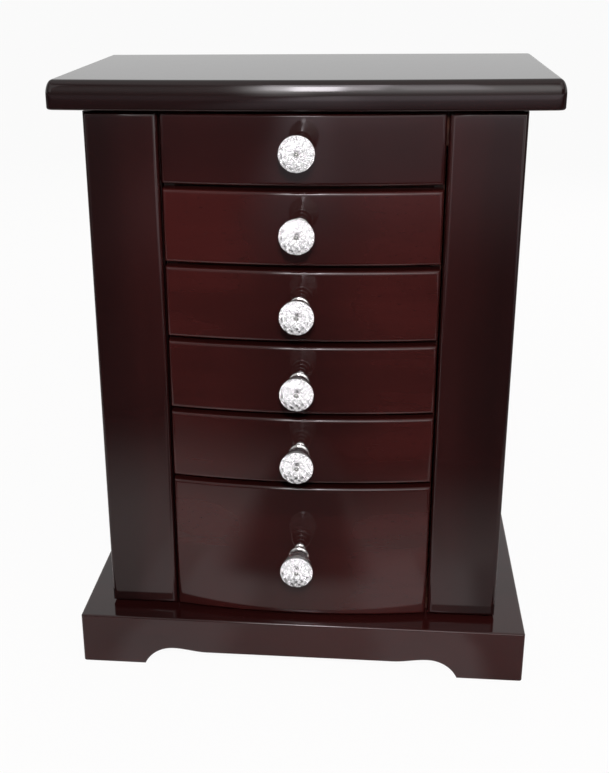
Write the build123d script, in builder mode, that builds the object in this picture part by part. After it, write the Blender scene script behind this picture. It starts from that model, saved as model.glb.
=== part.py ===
"""Jewelry cabinet: a lacquered chest with six bow-front drawers, two necklace doors and a lift-up lid.

Millimetres, +Z up, the front faces -Y. The origin is on the floor, under the middle of the whole box.
"""

from build123d import *
import os

os.makedirs("parts", exist_ok=True)

# Plan sizes
DRAWER_BAY = 160.4  # clear width between the two door stiles
STILE_WIDTH = 42.0  # front strip of each door
SIDE_OVERHANG = 17.8  # lid and plinth beyond the body, each side
BODY_DEPTH = 148.7  # door faces to the back of the back panel
FRONT_OVERHANG = 16.3  # plinth beyond the door faces
BACK_OVERHANG = 5.0  # lid and plinth beyond the back panel

# Heights
BASE_HEIGHT = 34.0
BOTTOM_ROW = 92.0  # plinth top to the first line between drawers
ROW = 45.0  # the four drawers in the middle
MIDDLE_ROWS = 4
TOP_ROW = 43.0
LID_THICK = 16.0

# Plinth
DECK_THICK = 9.0
DECK_ROUND = 1.2
APRON_THICK = 12.0
FOOT_WIDTH = 40.5
ARCH_RUN = 18.5  # foot corner to the top of the arch
ARCH_RISE = 12.0
WAVE_RUN = 22.0  # top of the arch to the straight part
WAVE_DROP = 2.2
CORNER_BLOCK = 22.0
BLOCK_LIFT = 3.0  # the blocks stay off the floor

# Body boards
FRONT_THICK = 10.0  # drawer fronts at their ends, and the door stiles
CASE_GAP = 0.8  # behind the fronts and stiles
BOARD = 8.0  # bottom board, case sides, back panel and door panels
CASE_REVEAL = 0.7  # case sides stand back from the stile edge
DIVIDER_THICK = 3.0
GROOVE_DEPTH = 2.0
DOOR_GAP = 0.6  # door panel to the ends of the boards it covers
END_GAP = 2.0  # doors and fronts to the plinth and lid

# Lid
LID_BOW = 6.0
LID_CORNER = 4.5
LID_TOP_ROUND = 4.4
LID_BOTTOM_ROUND = 2.5
MIRROR_THICK = 3.0
MIRROR_WIDTH = 200.0
MIRROR_DEPTH = 100.0
MIRROR_INSET = 0.2  # glass below the lid's underside

# Tray under the lid
TRAY_DEPTH = 18.5
TRAY_FLOOR = 3.0
TRAY_WALL = 6.0
SIDE_BAY = 62.0  # width of each outer compartment; the rings lie in the middle one
TRAY_PARTITION = 4.0
RING_ROLLS = 8
ROLL_HEIGHT = 14.0
ROLL_GAP = 1.2
LINING = 1.2
LINING_GAP = 0.3

# Drawers
DRAWER_BOW = 6.8
FRONT_GAP = 1.35  # each end of a drawer front
ROW_GAP = 2.9  # between two drawer fronts
FRONT_ROUND = 2.0
BOX_SIDE = 4.0
BOX_BOTTOM = 3.0
BOX_CLEAR = 0.6  # each side of a drawer box
RUN_CLEAR = 0.3  # under a drawer box
HEAD_ROOM = 3.0  # over a drawer box
TRAY_CLEAR = 1.5  # over the top drawer's box
BOX_BACK_CLEAR = 6.7  # closed drawer box to the back panel

# Knobs
KNOB_LIFT = 3.0  # above the middle of its front
KNOB_LENGTH = 34.0
CRYSTAL_RADIUS = 9.8
CRYSTAL_NECK = 5.6
CRYSTAL_CROWN = 2.6  # the domed face
CRYSTAL_GIRDLE = 2.0
CROWN_FLAT = 2.0
FACETS = 16
BELL_LENGTH = 11.5
BELL_RADIUS = 6.2
BELL_COLLAR = 2.5
FOOT_RADIUS = 3.4
FOOT_THICK = 1.5
NECK_RADIUS = 2.3
NECK_LENGTH = 2.0
SPIGOT_RADIUS = 2.4
SPIGOT_LENGTH = 3.0
SCREW_RADIUS = 1.5
SCREW_CLEAR = 0.1
SCREW_BITE = 7.0
HEAD_RADIUS = 3.4
HEAD_THICK = 2.0
HEAD_SINK = 2.4  # depth of the counterbore

# Hinges
KNUCKLE_RADIUS = 1.8
PIN_RADIUS = 0.6
PIN_CLEAR = 0.05
LEAF_THICK = 0.8
LEAF_SPLIT = 0.1  # each leaf to the plane between the two
BARREL_CLEAR = 0.1
KNUCKLE_GAP = 0.2
DOOR_LEAF_REACH = 7.5
LID_LEAF_REACH = 7.5
HINGE_LENGTH = 27.0
DOOR_HINGE_INSET = 45.0  # hinge middle to the door's top or bottom edge
LID_HINGE_X = 82.0

# Doors
STILE_ROUND = 2.5
HOOKS = 4
HOOK_PITCH = 26.0
HOOK_DROP = 42.0  # hooks below the door's top edge
HOOK_PLATE_RADIUS = 3.4
HOOK_PLATE_THICK = 1.2
HOOK_WIRE = 0.8
HOOK_STEM = 4.0
HOOK_BEND = 2.6
POCKET_WIDTH = 104.0
POCKET_HEIGHT = 58.0
POCKET_BULGE = 13.0
POCKET_CLOTH = 1.4
POCKET_LIFT = 14.0  # above the door's bottom edge
MAGNET_RADIUS = 2.5
MAGNET_LENGTH = 5.0
STRIKE_RADIUS = 3.6
STRIKE_THICK = 0.6

# Worked-out widths and heights
BODY_WIDTH = DRAWER_BAY + 2 * STILE_WIDTH
WIDTH = BODY_WIDTH + 2 * SIDE_OVERHANG
DEPTH = BODY_DEPTH + FRONT_OVERHANG + BACK_OVERHANG
ROW_EDGES = [BASE_HEIGHT, BASE_HEIGHT + BOTTOM_ROW]
for _ in range(MIDDLE_ROWS):
    ROW_EDGES.append(ROW_EDGES[-1] + ROW)
ROW_EDGES.append(ROW_EDGES[-1] + TOP_ROW)
RIM_Z = ROW_EDGES[-1]  # the plane that the lid rests on
DRAWERS = MIDDLE_ROWS + 2

# Worked-out places, front to back
KNOB_REACH = DRAWER_BOW + KNOB_LENGTH - FRONT_OVERHANG  # knobs beyond the plinth
PLINTH_FRONT = (KNOB_REACH - DEPTH) / 2
PLINTH_BACK = PLINTH_FRONT + DEPTH
FACE_Y = PLINTH_FRONT + FRONT_OVERHANG
BACK_Y = FACE_Y + BODY_DEPTH
FRONT_BACK_Y = FACE_Y + FRONT_THICK
CASE_FRONT = FRONT_BACK_Y + CASE_GAP
CASE_BACK = BACK_Y - BOARD
BOW_Y = FACE_Y - DRAWER_BOW

# Worked-out places, side to side
STILE_X = DRAWER_BAY / 2
BODY_X = BODY_WIDTH / 2
DOOR_INNER_X = BODY_X - BOARD
SHELF_X = DOOR_INNER_X - DOOR_GAP
CASE_OUTER_X = STILE_X - CASE_REVEAL
CASE_INNER_X = CASE_OUTER_X - BOARD

# Worked-out heights
BOARD_TOP = BASE_HEIGHT + BOARD
TRAY_INSIDE_Z = RIM_Z - TRAY_DEPTH
TRAY_UNDER_Z = TRAY_INSIDE_Z - TRAY_FLOOR
DOOR_BOTTOM = BASE_HEIGHT + END_GAP
DOOR_TOP = RIM_Z - END_GAP

# Hinge axes
LEAF_SPAN = LEAF_SPLIT + LEAF_THICK
DOOR_AXIS_X = BODY_X + KNUCKLE_RADIUS + BARREL_CLEAR
DOOR_AXIS_Y = CASE_BACK - LEAF_SPAN
LID_AXIS_Y = BACK_Y + KNUCKLE_RADIUS + BARREL_CLEAR


def save(shape, name):
    """Labels a finished piece and writes its file."""
    shape.label = name
    export_step(shape, f"parts/{name}.step")


def group(name, pieces):
    """Writes separate solids of one node without joining them."""
    save(Compound(children=[piece.part for piece in pieces]), name)


def board(x, y, z):
    """A plain board between three pairs of limits."""
    with BuildPart() as plank:
        with BuildSketch(Plane.XY.offset(z[0])):
            with Locations(((x[0] + x[1]) / 2, (y[0] + y[1]) / 2)):
                Rectangle(x[1] - x[0], y[1] - y[0])
        extrude(amount=z[1] - z[0])
    return plank


# Plinth: a deck on four mitred aprons with bracket feet

APRON_HEIGHT = BASE_HEIGHT - DECK_THICK


def long_apron(outer_y, inward):
    """A front or back apron: bracket feet, an arch beside each, and a mitre at each end."""
    half = WIDTH / 2
    arch_x = half - FOOT_WIDTH - ARCH_RUN
    flat_x = arch_x - WAVE_RUN
    flat_z = ARCH_RISE - WAVE_DROP
    wave_middle = ((arch_x + flat_x) / 2, (ARCH_RISE + flat_z) / 2)
    with BuildPart() as apron:
        with BuildSketch(Plane.XZ.offset(-outer_y)):
            with BuildLine():
                Line((0, APRON_HEIGHT), (half, APRON_HEIGHT))
                Line((half, APRON_HEIGHT), (half, 0))
                Line((half, 0), (half - FOOT_WIDTH, 0))
                TangentArc((arch_x, ARCH_RISE), (half - FOOT_WIDTH, 0), tangent=(1, 0))
                TangentArc((arch_x, ARCH_RISE), wave_middle, tangent=(-1, 0))
                TangentArc((flat_x, flat_z), wave_middle, tangent=(1, 0))
                Line((flat_x, flat_z), (0, flat_z))
                Line((0, flat_z), (0, APRON_HEIGHT))
            make_face()
            mirror(about=Plane.YZ)
        extrude(amount=-inward * APRON_THICK)
        with BuildSketch(Plane.XY):
            inner_y = outer_y + inward * APRON_THICK
            Polygon(
                (-half, outer_y),
                (half, outer_y),
                (half - APRON_THICK, inner_y),
                (APRON_THICK - half, inner_y),
                align=None,
            )
        extrude(amount=APRON_HEIGHT, mode=Mode.INTERSECT)
    return apron


def side_aprons():
    """Both end aprons, each with one plain arch between its feet."""
    first = PLINTH_FRONT + FOOT_WIDTH
    last = PLINTH_BACK - FOOT_WIDTH
    side = -WIDTH / 2
    with BuildPart() as aprons:
        with BuildSketch(Plane.YZ.offset(side)):
            with BuildLine():
                Line((PLINTH_FRONT, APRON_HEIGHT), (PLINTH_FRONT, 0))
                Line((PLINTH_FRONT, 0), (first, 0))
                TangentArc((first + ARCH_RUN, ARCH_RISE), (first, 0), tangent=(-1, 0))
                Line((first + ARCH_RUN, ARCH_RISE), (last - ARCH_RUN, ARCH_RISE))
                TangentArc((last - ARCH_RUN, ARCH_RISE), (last, 0), tangent=(1, 0))
                Line((last, 0), (PLINTH_BACK, 0))
                Line((PLINTH_BACK, 0), (PLINTH_BACK, APRON_HEIGHT))
                Line((PLINTH_BACK, APRON_HEIGHT), (PLINTH_FRONT, APRON_HEIGHT))
            make_face()
        extrude(amount=APRON_THICK)
        with BuildSketch(Plane.XY):
            Polygon(
                (side, PLINTH_FRONT),
                (side + APRON_THICK, PLINTH_FRONT + APRON_THICK),
                (side + APRON_THICK, PLINTH_BACK - APRON_THICK),
                (side, PLINTH_BACK),
                align=None,
            )
        extrude(amount=APRON_HEIGHT, mode=Mode.INTERSECT)
        mirror(about=Plane.YZ)
    return aprons


def corner_blocks():
    """Four triangular glue blocks inside the plinth's corners."""
    x = WIDTH / 2 - APRON_THICK
    with BuildPart() as blocks:
        with BuildSketch(Plane.XY.offset(BLOCK_LIFT)):
            for y, way in ((PLINTH_FRONT + APRON_THICK, 1), (PLINTH_BACK - APRON_THICK, -1)):
                Polygon((x, y), (x - CORNER_BLOCK, y), (x, y + way * CORNER_BLOCK), align=None)
            mirror(about=Plane.YZ)
        extrude(amount=APRON_HEIGHT - BLOCK_LIFT)
    return blocks


def base_deck():
    """The plinth's top board, with its upper edge eased."""
    with BuildPart() as deck:
        with BuildSketch(Plane.XY.offset(APRON_HEIGHT)):
            with Locations((0, (PLINTH_FRONT + PLINTH_BACK) / 2)):
                Rectangle(WIDTH, DEPTH)
        extrude(amount=DECK_THICK)
        fillet(deck.faces().sort_by(Axis.Z)[-1].edges(), radius=DECK_ROUND)
    return deck


save(base_deck().part, "base_deck")
save(long_apron(PLINTH_FRONT, 1).part, "base_front_apron")
save(long_apron(PLINTH_BACK, -1).part, "base_back_apron")
save(side_aprons().part, "base_side_aprons")
save(corner_blocks().part, "base_corner_blocks")

# Case: bottom board, two case sides, back panel and the boards between drawers

MAGNET_X = (STILE_X + SHELF_X) / 2
LOW_MAGNET_Z = BASE_HEIGHT + BOARD / 2
HIGH_MAGNET_Z = (TRAY_INSIDE_Z + RIM_Z) / 2


def bottom_board():
    """Carries the bottom drawer and closes both necklace bays below."""
    with BuildPart() as shelf:
        with BuildSketch(Plane.XY.offset(BASE_HEIGHT)):
            with Locations((0, (CASE_FRONT + CASE_BACK) / 2)):
                Rectangle(2 * SHELF_X, CASE_BACK - CASE_FRONT)
        extrude(amount=BOARD)
        with BuildSketch(Plane.XZ.offset(-CASE_FRONT)):
            with Locations((-MAGNET_X, LOW_MAGNET_Z), (MAGNET_X, LOW_MAGNET_Z)):
                Circle(MAGNET_RADIUS)
        extrude(amount=-MAGNET_LENGTH, mode=Mode.SUBTRACT)
    return shelf


def case_sides():
    """Both case sides, grooved for the boards between drawers."""
    middle_y = (CASE_FRONT + CASE_BACK) / 2
    length = CASE_BACK - CASE_FRONT
    with BuildPart() as sides:
        with BuildSketch(Plane.XY.offset(BOARD_TOP)):
            with Locations(((CASE_INNER_X + CASE_OUTER_X) / 2, middle_y)):
                Rectangle(BOARD, length)
        extrude(amount=TRAY_UNDER_Z - BOARD_TOP)
        with BuildSketch(Plane.YZ.offset(CASE_INNER_X)):
            with Locations([(middle_y, z) for z in ROW_EDGES[1:-1]]):
                Rectangle(length, DIVIDER_THICK)
        extrude(amount=GROOVE_DEPTH, mode=Mode.SUBTRACT)
        mirror(about=Plane.YZ)
    return sides


def back_panel():
    """The full-width back, let in at its top edge for the lid hinges."""
    with BuildPart() as panel:
        with BuildSketch(Plane.XY.offset(BASE_HEIGHT)):
            with Locations((0, BACK_Y - BOARD / 2)):
                Rectangle(BODY_WIDTH, BOARD)
        extrude(amount=RIM_Z - BASE_HEIGHT)
        with BuildSketch(Plane.XY.offset(RIM_Z)):
            with Locations((-LID_HINGE_X, BACK_Y - BOARD / 2), (LID_HINGE_X, BACK_Y - BOARD / 2)):
                Rectangle(HINGE_LENGTH, BOARD)
        extrude(amount=-LEAF_SPAN, mode=Mode.SUBTRACT)
    return panel


def drawer_dividers():
    """The thin boards that the drawers run on, held in the case sides' grooves."""
    with BuildPart() as shelves:
        for z in ROW_EDGES[1:-1]:
            with BuildSketch(Plane.XY.offset(z - DIVIDER_THICK / 2)):
                with Locations((0, (CASE_FRONT + CASE_BACK) / 2)):
                    Rectangle(2 * (CASE_INNER_X + GROOVE_DEPTH), CASE_BACK - CASE_FRONT)
            extrude(amount=DIVIDER_THICK)
    return shelves


def catch_magnets():
    """Four round magnets, two behind each door stile."""
    with BuildPart() as magnets:
        with BuildSketch(Plane.XZ.offset(-CASE_FRONT)):
            with Locations((0, (LOW_MAGNET_Z + HIGH_MAGNET_Z) / 2)):
                with GridLocations(2 * MAGNET_X, HIGH_MAGNET_Z - LOW_MAGNET_Z, 2, 2):
                    Circle(MAGNET_RADIUS)
        extrude(amount=-MAGNET_LENGTH)
    return magnets


save(bottom_board().part, "bottom_board")
save(case_sides().part, "case_sides")
save(back_panel().part, "back_panel")
save(drawer_dividers().part, "drawer_dividers")
save(catch_magnets().part, "catch_magnets")

# Tray under the lid: floor, walls, two partitions, velvet pads and ring rolls

TRAY_BACK = CASE_BACK
TRAY_IN_FRONT = CASE_FRONT + TRAY_WALL
TRAY_IN_X = SHELF_X - TRAY_WALL
PARTITION_X = TRAY_IN_X - SIDE_BAY - TRAY_PARTITION


def tray_front_wall():
    """The tray's front wall, with the upper catch magnets let into it."""
    with BuildPart() as wall:
        with BuildSketch(Plane.XY.offset(TRAY_INSIDE_Z)):
            with Locations((0, (CASE_FRONT + TRAY_IN_FRONT) / 2)):
                Rectangle(2 * SHELF_X, TRAY_WALL)
        extrude(amount=TRAY_DEPTH)
        with BuildSketch(Plane.XZ.offset(-CASE_FRONT)):
            with Locations((-MAGNET_X, HIGH_MAGNET_Z), (MAGNET_X, HIGH_MAGNET_Z)):
                Circle(MAGNET_RADIUS)
        extrude(amount=-MAGNET_LENGTH, mode=Mode.SUBTRACT)
    return wall


def lid_tray():
    """Every board of the tray, as separate solids."""
    inside = (TRAY_IN_FRONT, TRAY_BACK)
    upright = (TRAY_INSIDE_Z, RIM_Z)
    low_upright = (TRAY_INSIDE_Z, RIM_Z - END_GAP)
    boards = [board((-SHELF_X, SHELF_X), (CASE_FRONT, TRAY_BACK), (TRAY_UNDER_Z, TRAY_INSIDE_Z))]
    boards.append(tray_front_wall())
    for x in ((-SHELF_X, -TRAY_IN_X), (TRAY_IN_X, SHELF_X)):
        boards.append(board(x, inside, upright))
    for x in ((-PARTITION_X - TRAY_PARTITION, -PARTITION_X), (PARTITION_X, PARTITION_X + TRAY_PARTITION)):
        boards.append(board(x, inside, low_upright))
    return boards


def ring_roll(x, width):
    """One padded roll, round on top, that a ring is pushed down beside."""
    first = TRAY_IN_FRONT + LINING_GAP
    last = TRAY_BACK - LINING_GAP
    shoulder = ROLL_HEIGHT - width / 2
    with BuildPart() as roll:
        with BuildSketch(Plane.XZ.offset(-last)):
            with BuildLine():
                Polyline(
                    (x, TRAY_INSIDE_Z + LINING + shoulder),
                    (x, TRAY_INSIDE_Z + LINING),
                    (x + width, TRAY_INSIDE_Z + LINING),
                    (x + width, TRAY_INSIDE_Z + LINING + shoulder),
                )
                ThreePointArc(
                    (x + width, TRAY_INSIDE_Z + LINING + shoulder),
                    (x + width / 2, TRAY_INSIDE_Z + LINING + ROLL_HEIGHT),
                    (x, TRAY_INSIDE_Z + LINING + shoulder),
                )
            make_face()
        extrude(amount=last - first)
    return roll


def tray_lining():
    """Velvet pads on the three floors, and the row of ring rolls in the middle."""
    y = (TRAY_IN_FRONT + LINING_GAP, TRAY_BACK - LINING_GAP)
    z = (TRAY_INSIDE_Z, TRAY_INSIDE_Z + LINING)
    outer = (PARTITION_X + TRAY_PARTITION + LINING_GAP, TRAY_IN_X - LINING_GAP)
    pads = [
        board((-outer[1], -outer[0]), y, z),
        board((LINING_GAP - PARTITION_X, PARTITION_X - LINING_GAP), y, z),
        board(outer, y, z),
    ]
    half = PARTITION_X - LINING_GAP
    pitch = (2 * half + ROLL_GAP) / RING_ROLLS
    rolls = [ring_roll(i * pitch - half, pitch - ROLL_GAP) for i in range(RING_ROLLS)]
    return pads + rolls


group("lid_tray", lid_tray())
group("tray_lining", tray_lining())

# Hinges: a leaf with two knuckles stays on the case, a leaf with one turns with the lid or door


def hinge_leaf(plane, reach, turning):
    """One leaf. The plane's Z is the pin, its -X points along the leaves, and its +Y is the case's side."""
    third = HINGE_LENGTH / 3
    side = -1 if turning else 1
    if turning:
        knuckles = [(-third / 2 + KNUCKLE_GAP, third / 2 - KNUCKLE_GAP)]
    else:
        knuckles = [(-1.5 * third, -third / 2), (third / 2, 1.5 * third)]
    near = KNUCKLE_RADIUS + BARREL_CLEAR
    leaf_y = side * (LEAF_SPLIT + LEAF_THICK / 2)
    with BuildPart() as leaf:
        with BuildSketch(plane.offset(-HINGE_LENGTH / 2)):
            with Locations((-(near + reach) / 2, leaf_y)):
                Rectangle(reach - near, LEAF_THICK)
        extrude(amount=HINGE_LENGTH)
        for low, high in knuckles:
            with BuildSketch(plane.offset(low)):
                Circle(KNUCKLE_RADIUS)
                with Locations((-near / 2, leaf_y)):
                    Rectangle(near, LEAF_THICK)
            extrude(amount=high - low)
        with BuildSketch(plane.offset(-HINGE_LENGTH / 2)):
            Circle(PIN_RADIUS + PIN_CLEAR)
        extrude(amount=HINGE_LENGTH, mode=Mode.SUBTRACT)
    return leaf


def hinge_pin(plane):
    """The pin of one hinge."""
    with BuildPart() as pin:
        with BuildSketch(plane.offset(-HINGE_LENGTH / 2)):
            Circle(PIN_RADIUS)
        extrude(amount=HINGE_LENGTH)
    return pin


DOOR_HINGE_HEIGHTS = (DOOR_BOTTOM + DOOR_HINGE_INSET, DOOR_TOP - DOOR_HINGE_INSET)
DOOR_REACH = KNUCKLE_RADIUS + BARREL_CLEAR + DOOR_LEAF_REACH
LID_REACH = KNUCKLE_RADIUS + BARREL_CLEAR + LID_LEAF_REACH


def door_hinges(side):
    """Where one door's hinges are: each plane's Z is the pin and its X points away from the leaves."""
    origins = [(side * DOOR_AXIS_X, DOOR_AXIS_Y, z) for z in DOOR_HINGE_HEIGHTS]
    return [Plane(origin=point, x_dir=(side, 0, 0), z_dir=(0, 0, side)) for point in origins]


def lid_hinges():
    """Where the lid's hinges are, with their pins across the back."""
    origins = [(x, LID_AXIS_Y, RIM_Z) for x in (-LID_HINGE_X, LID_HINGE_X)]
    return [Plane(origin=point, x_dir=(0, 1, 0), z_dir=(-1, 0, 0)) for point in origins]


LEFT_HINGES = door_hinges(-1)
RIGHT_HINGES = door_hinges(1)
LID_HINGES = lid_hinges()

group(
    "hinge_case_leaves",
    [hinge_leaf(plane, DOOR_REACH, False) for plane in LEFT_HINGES + RIGHT_HINGES]
    + [hinge_leaf(plane, LID_REACH, False) for plane in LID_HINGES],
)
group("hinge_pins", [hinge_pin(plane) for plane in LEFT_HINGES + RIGHT_HINGES + LID_HINGES])
group("lid_hinge_leaves", [hinge_leaf(plane, LID_REACH, True) for plane in LID_HINGES])

# Lid: a bow-front slab with a rounded edge, and a mirror let into its underside

LID_FRONT_ENDS = PLINTH_FRONT + LID_BOW
MIRROR_Y = (TRAY_IN_FRONT + TRAY_BACK) / 2


def lid_panel():
    """The slab, its mirror recess and the notches that its hinges need."""
    half = WIDTH / 2
    with BuildPart() as lid:
        with BuildSketch(Plane.XY.offset(RIM_Z)):
            with BuildLine():
                Polyline(
                    (-half, LID_FRONT_ENDS),
                    (-half, PLINTH_BACK),
                    (half, PLINTH_BACK),
                    (half, LID_FRONT_ENDS),
                )
                ThreePointArc((half, LID_FRONT_ENDS), (0, PLINTH_FRONT), (-half, LID_FRONT_ENDS))
            make_face()
        extrude(amount=LID_THICK)
        fillet(lid.edges().filter_by(Axis.Z), radius=LID_CORNER)
        fillet(lid.faces().sort_by(Axis.Z)[-1].edges(), radius=LID_TOP_ROUND)
        fillet(lid.faces().sort_by(Axis.Z)[0].edges(), radius=LID_BOTTOM_ROUND)
        with BuildSketch(Plane.XY.offset(RIM_Z)):
            with Locations((0, MIRROR_Y)):
                Rectangle(MIRROR_WIDTH, MIRROR_DEPTH)
        extrude(amount=MIRROR_THICK + MIRROR_INSET, mode=Mode.SUBTRACT)
        leaf_front = LID_AXIS_Y - LID_REACH
        with BuildSketch(Plane.XY.offset(RIM_Z)):
            for x in (-LID_HINGE_X, LID_HINGE_X):
                with Locations((x, (leaf_front + BACK_Y) / 2)):
                    Rectangle(HINGE_LENGTH, BACK_Y - leaf_front)
        extrude(amount=LEAF_SPAN, mode=Mode.SUBTRACT)
        barrel_room = KNUCKLE_RADIUS + BARREL_CLEAR
        with BuildSketch(Plane.XY.offset(RIM_Z)):
            for x in (-LID_HINGE_X, LID_HINGE_X):
                with Locations((x, (BACK_Y + PLINTH_BACK) / 2)):
                    Rectangle(HINGE_LENGTH, PLINTH_BACK - BACK_Y)
        extrude(amount=barrel_room, mode=Mode.SUBTRACT)
    return lid


save(lid_panel().part, "lid_panel")
save(
    board(
        (-MIRROR_WIDTH / 2, MIRROR_WIDTH / 2),
        (MIRROR_Y - MIRROR_DEPTH / 2, MIRROR_Y + MIRROR_DEPTH / 2),
        (RIM_Z + MIRROR_INSET, RIM_Z + MIRROR_INSET + MIRROR_THICK),
    ).part,
    "lid_mirror",
)

# Necklace doors: an L of a side panel and a front stile, with hooks, a cloth pocket and catch plates

DOOR_PANEL_BACK = DOOR_AXIS_Y - LEAF_SPAN
HOOK_MIDDLE_Y = (FRONT_BACK_Y + DOOR_PANEL_BACK) / 2


def door_stile(side):
    """The front strip of a door, its face edges rounded."""
    with BuildPart() as stile:
        with BuildSketch(Plane.XY.offset(DOOR_BOTTOM)):
            with Locations((side * (STILE_X + BODY_X) / 2, (FACE_Y + FRONT_BACK_Y) / 2)):
                Rectangle(STILE_WIDTH, FRONT_THICK)
        extrude(amount=DOOR_TOP - DOOR_BOTTOM)
        fillet(stile.faces().sort_by(Axis.Y)[0].edges(), radius=STILE_ROUND)
    return stile


def hook(side, y):
    """A cup hook: a round plate, a stem and a wire that turns down and then up again."""
    height = DOOR_TOP - HOOK_DROP
    face_x = side * DOOR_INNER_X
    stem_x = face_x - side * (HOOK_PLATE_THICK + HOOK_STEM)
    down_x = stem_x - side * HOOK_BEND
    bend_z = height - HOOK_BEND
    with BuildPart() as wire:
        with BuildSketch(Plane.YZ.offset(face_x)):
            with Locations((y, height)):
                Circle(HOOK_PLATE_RADIUS)
        extrude(amount=-side * HOOK_PLATE_THICK)
        with BuildSketch(Plane.YZ.offset(stem_x)):
            with Locations((y, height)):
                Circle(HOOK_WIRE)
        extrude(amount=side * HOOK_STEM)
        with BuildSketch(Plane.YZ.offset(stem_x)):
            with Locations((y, height)):
                Circle(HOOK_WIRE)
        revolve(axis=Axis((stem_x, y, bend_z), (0, -side, 0)), revolution_arc=90)
        with BuildSketch(Plane.XY.offset(bend_z)):
            with Locations((down_x, y)):
                Circle(HOOK_WIRE)
        revolve(axis=Axis((down_x - side * HOOK_BEND, y, bend_z), (0, side, 0)), revolution_arc=180)
    return wire


def pocket(side):
    """A cloth pouch on the door panel, open at the top, bulging into the bay."""
    face = side * DOOR_INNER_X
    low = DOOR_BOTTOM + POCKET_LIFT
    half = POCKET_WIDTH / 2
    with BuildPart() as pouch:
        with BuildSketch(Plane.XY.offset(low)):
            with BuildLine():
                Line((face, HOOK_MIDDLE_Y - half), (face, HOOK_MIDDLE_Y + half))
                ThreePointArc(
                    (face, HOOK_MIDDLE_Y + half),
                    (face - side * POCKET_BULGE, HOOK_MIDDLE_Y),
                    (face, HOOK_MIDDLE_Y - half),
                )
            make_face()
        extrude(amount=POCKET_HEIGHT)
        offset(amount=-POCKET_CLOTH, openings=pouch.faces().sort_by(Axis.Z)[-1])
    return pouch


def strike_plates(side):
    """The steel discs on the stile's back that the magnets pull."""
    with BuildPart() as plates:
        with BuildSketch(Plane.XZ.offset(-FRONT_BACK_Y)):
            with Locations((side * MAGNET_X, LOW_MAGNET_Z), (side * MAGNET_X, HIGH_MAGNET_Z)):
                Circle(STRIKE_RADIUS)
        extrude(amount=-STRIKE_THICK)
    return plates


HOOK_PLACES = [HOOK_MIDDLE_Y + (i - (HOOKS - 1) / 2) * HOOK_PITCH for i in range(HOOKS)]

for door, side, planes in (("left_door", -1, LEFT_HINGES), ("right_door", 1, RIGHT_HINGES)):
    panel_x = sorted((side * DOOR_INNER_X, side * BODY_X))
    panel = board(panel_x, (FRONT_BACK_Y, DOOR_PANEL_BACK), (DOOR_BOTTOM, DOOR_TOP))
    save(panel.part, f"{door}_panel")
    save(door_stile(side).part, f"{door}_stile")
    group(f"{door}_hooks", [hook(side, y) for y in HOOK_PLACES])
    save(pocket(side).part, f"{door}_pocket")
    save(strike_plates(side).part, f"{door}_strikes")
    group(f"{door}_hinge_leaves", [hinge_leaf(plane, DOOR_REACH, True) for plane in planes])

# Drawers, numbered from the top: a bow front, a box, a velvet mat and a crystal knob

FRONT_HALF = DRAWER_BAY / 2 - FRONT_GAP
BOX_X = CASE_INNER_X - BOX_CLEAR
BOX_BACK = CASE_BACK - BOX_BACK_CLEAR


def drawer_limits(row):
    """Bottom and top of the front, bottom and top of the box, for a row counted from the floor."""
    first, last = row == 0, row == DRAWERS - 1
    front_low = DOOR_BOTTOM if first else ROW_EDGES[row] + ROW_GAP / 2
    front_high = DOOR_TOP if last else ROW_EDGES[row + 1] - ROW_GAP / 2
    runner = BOARD_TOP if first else ROW_EDGES[row] + DIVIDER_THICK / 2
    ceiling = TRAY_UNDER_Z - TRAY_CLEAR if last else ROW_EDGES[row + 1] - DIVIDER_THICK / 2 - HEAD_ROOM
    return front_low, front_high, runner + RUN_CLEAR, ceiling


def drawer_front(low, high, knob_z):
    """The bow front, with a counterbored hole for the knob's screw."""
    with BuildPart() as front:
        with BuildSketch(Plane.XY.offset(low)):
            with BuildLine():
                Polyline(
                    (-FRONT_HALF, FACE_Y),
                    (-FRONT_HALF, FRONT_BACK_Y),
                    (FRONT_HALF, FRONT_BACK_Y),
                    (FRONT_HALF, FACE_Y),
                )
                ThreePointArc((FRONT_HALF, FACE_Y), (0, BOW_Y), (-FRONT_HALF, FACE_Y))
            make_face()
        extrude(amount=high - low)
        fillet(front.faces().sort_by(Axis.Y)[0].edges(), radius=FRONT_ROUND)
        with Locations(Plane(origin=(0, FRONT_BACK_Y, knob_z), z_dir=(0, 1, 0))):
            CounterBoreHole(
                radius=SCREW_RADIUS + SCREW_CLEAR,
                counter_bore_radius=HEAD_RADIUS + SCREW_CLEAR,
                counter_bore_depth=HEAD_SINK,
                depth=FRONT_THICK + DRAWER_BOW,
            )
    return front


def drawer_box(low, high):
    """Bottom, two sides and back of a drawer, as separate boards."""
    x_left, x_right = (-BOX_X, BOX_SIDE - BOX_X), (BOX_X - BOX_SIDE, BOX_X)
    upright = (low + BOX_BOTTOM, high)
    return [
        board((-BOX_X, BOX_X), (FRONT_BACK_Y, BOX_BACK), (low, low + BOX_BOTTOM)),
        board(x_left, (FRONT_BACK_Y, BOX_BACK), upright),
        board(x_right, (FRONT_BACK_Y, BOX_BACK), upright),
        board((x_left[1], x_right[0]), (BOX_BACK - BOX_SIDE, BOX_BACK), upright),
    ]


def drawer_lining(low):
    """The velvet mat on a drawer's bottom."""
    x = BOX_X - BOX_SIDE - LINING_GAP
    y = (FRONT_BACK_Y + LINING_GAP, BOX_BACK - BOX_SIDE - LINING_GAP)
    return board((-x, x), y, (low + BOX_BOTTOM, low + BOX_BOTTOM + LINING))


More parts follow.
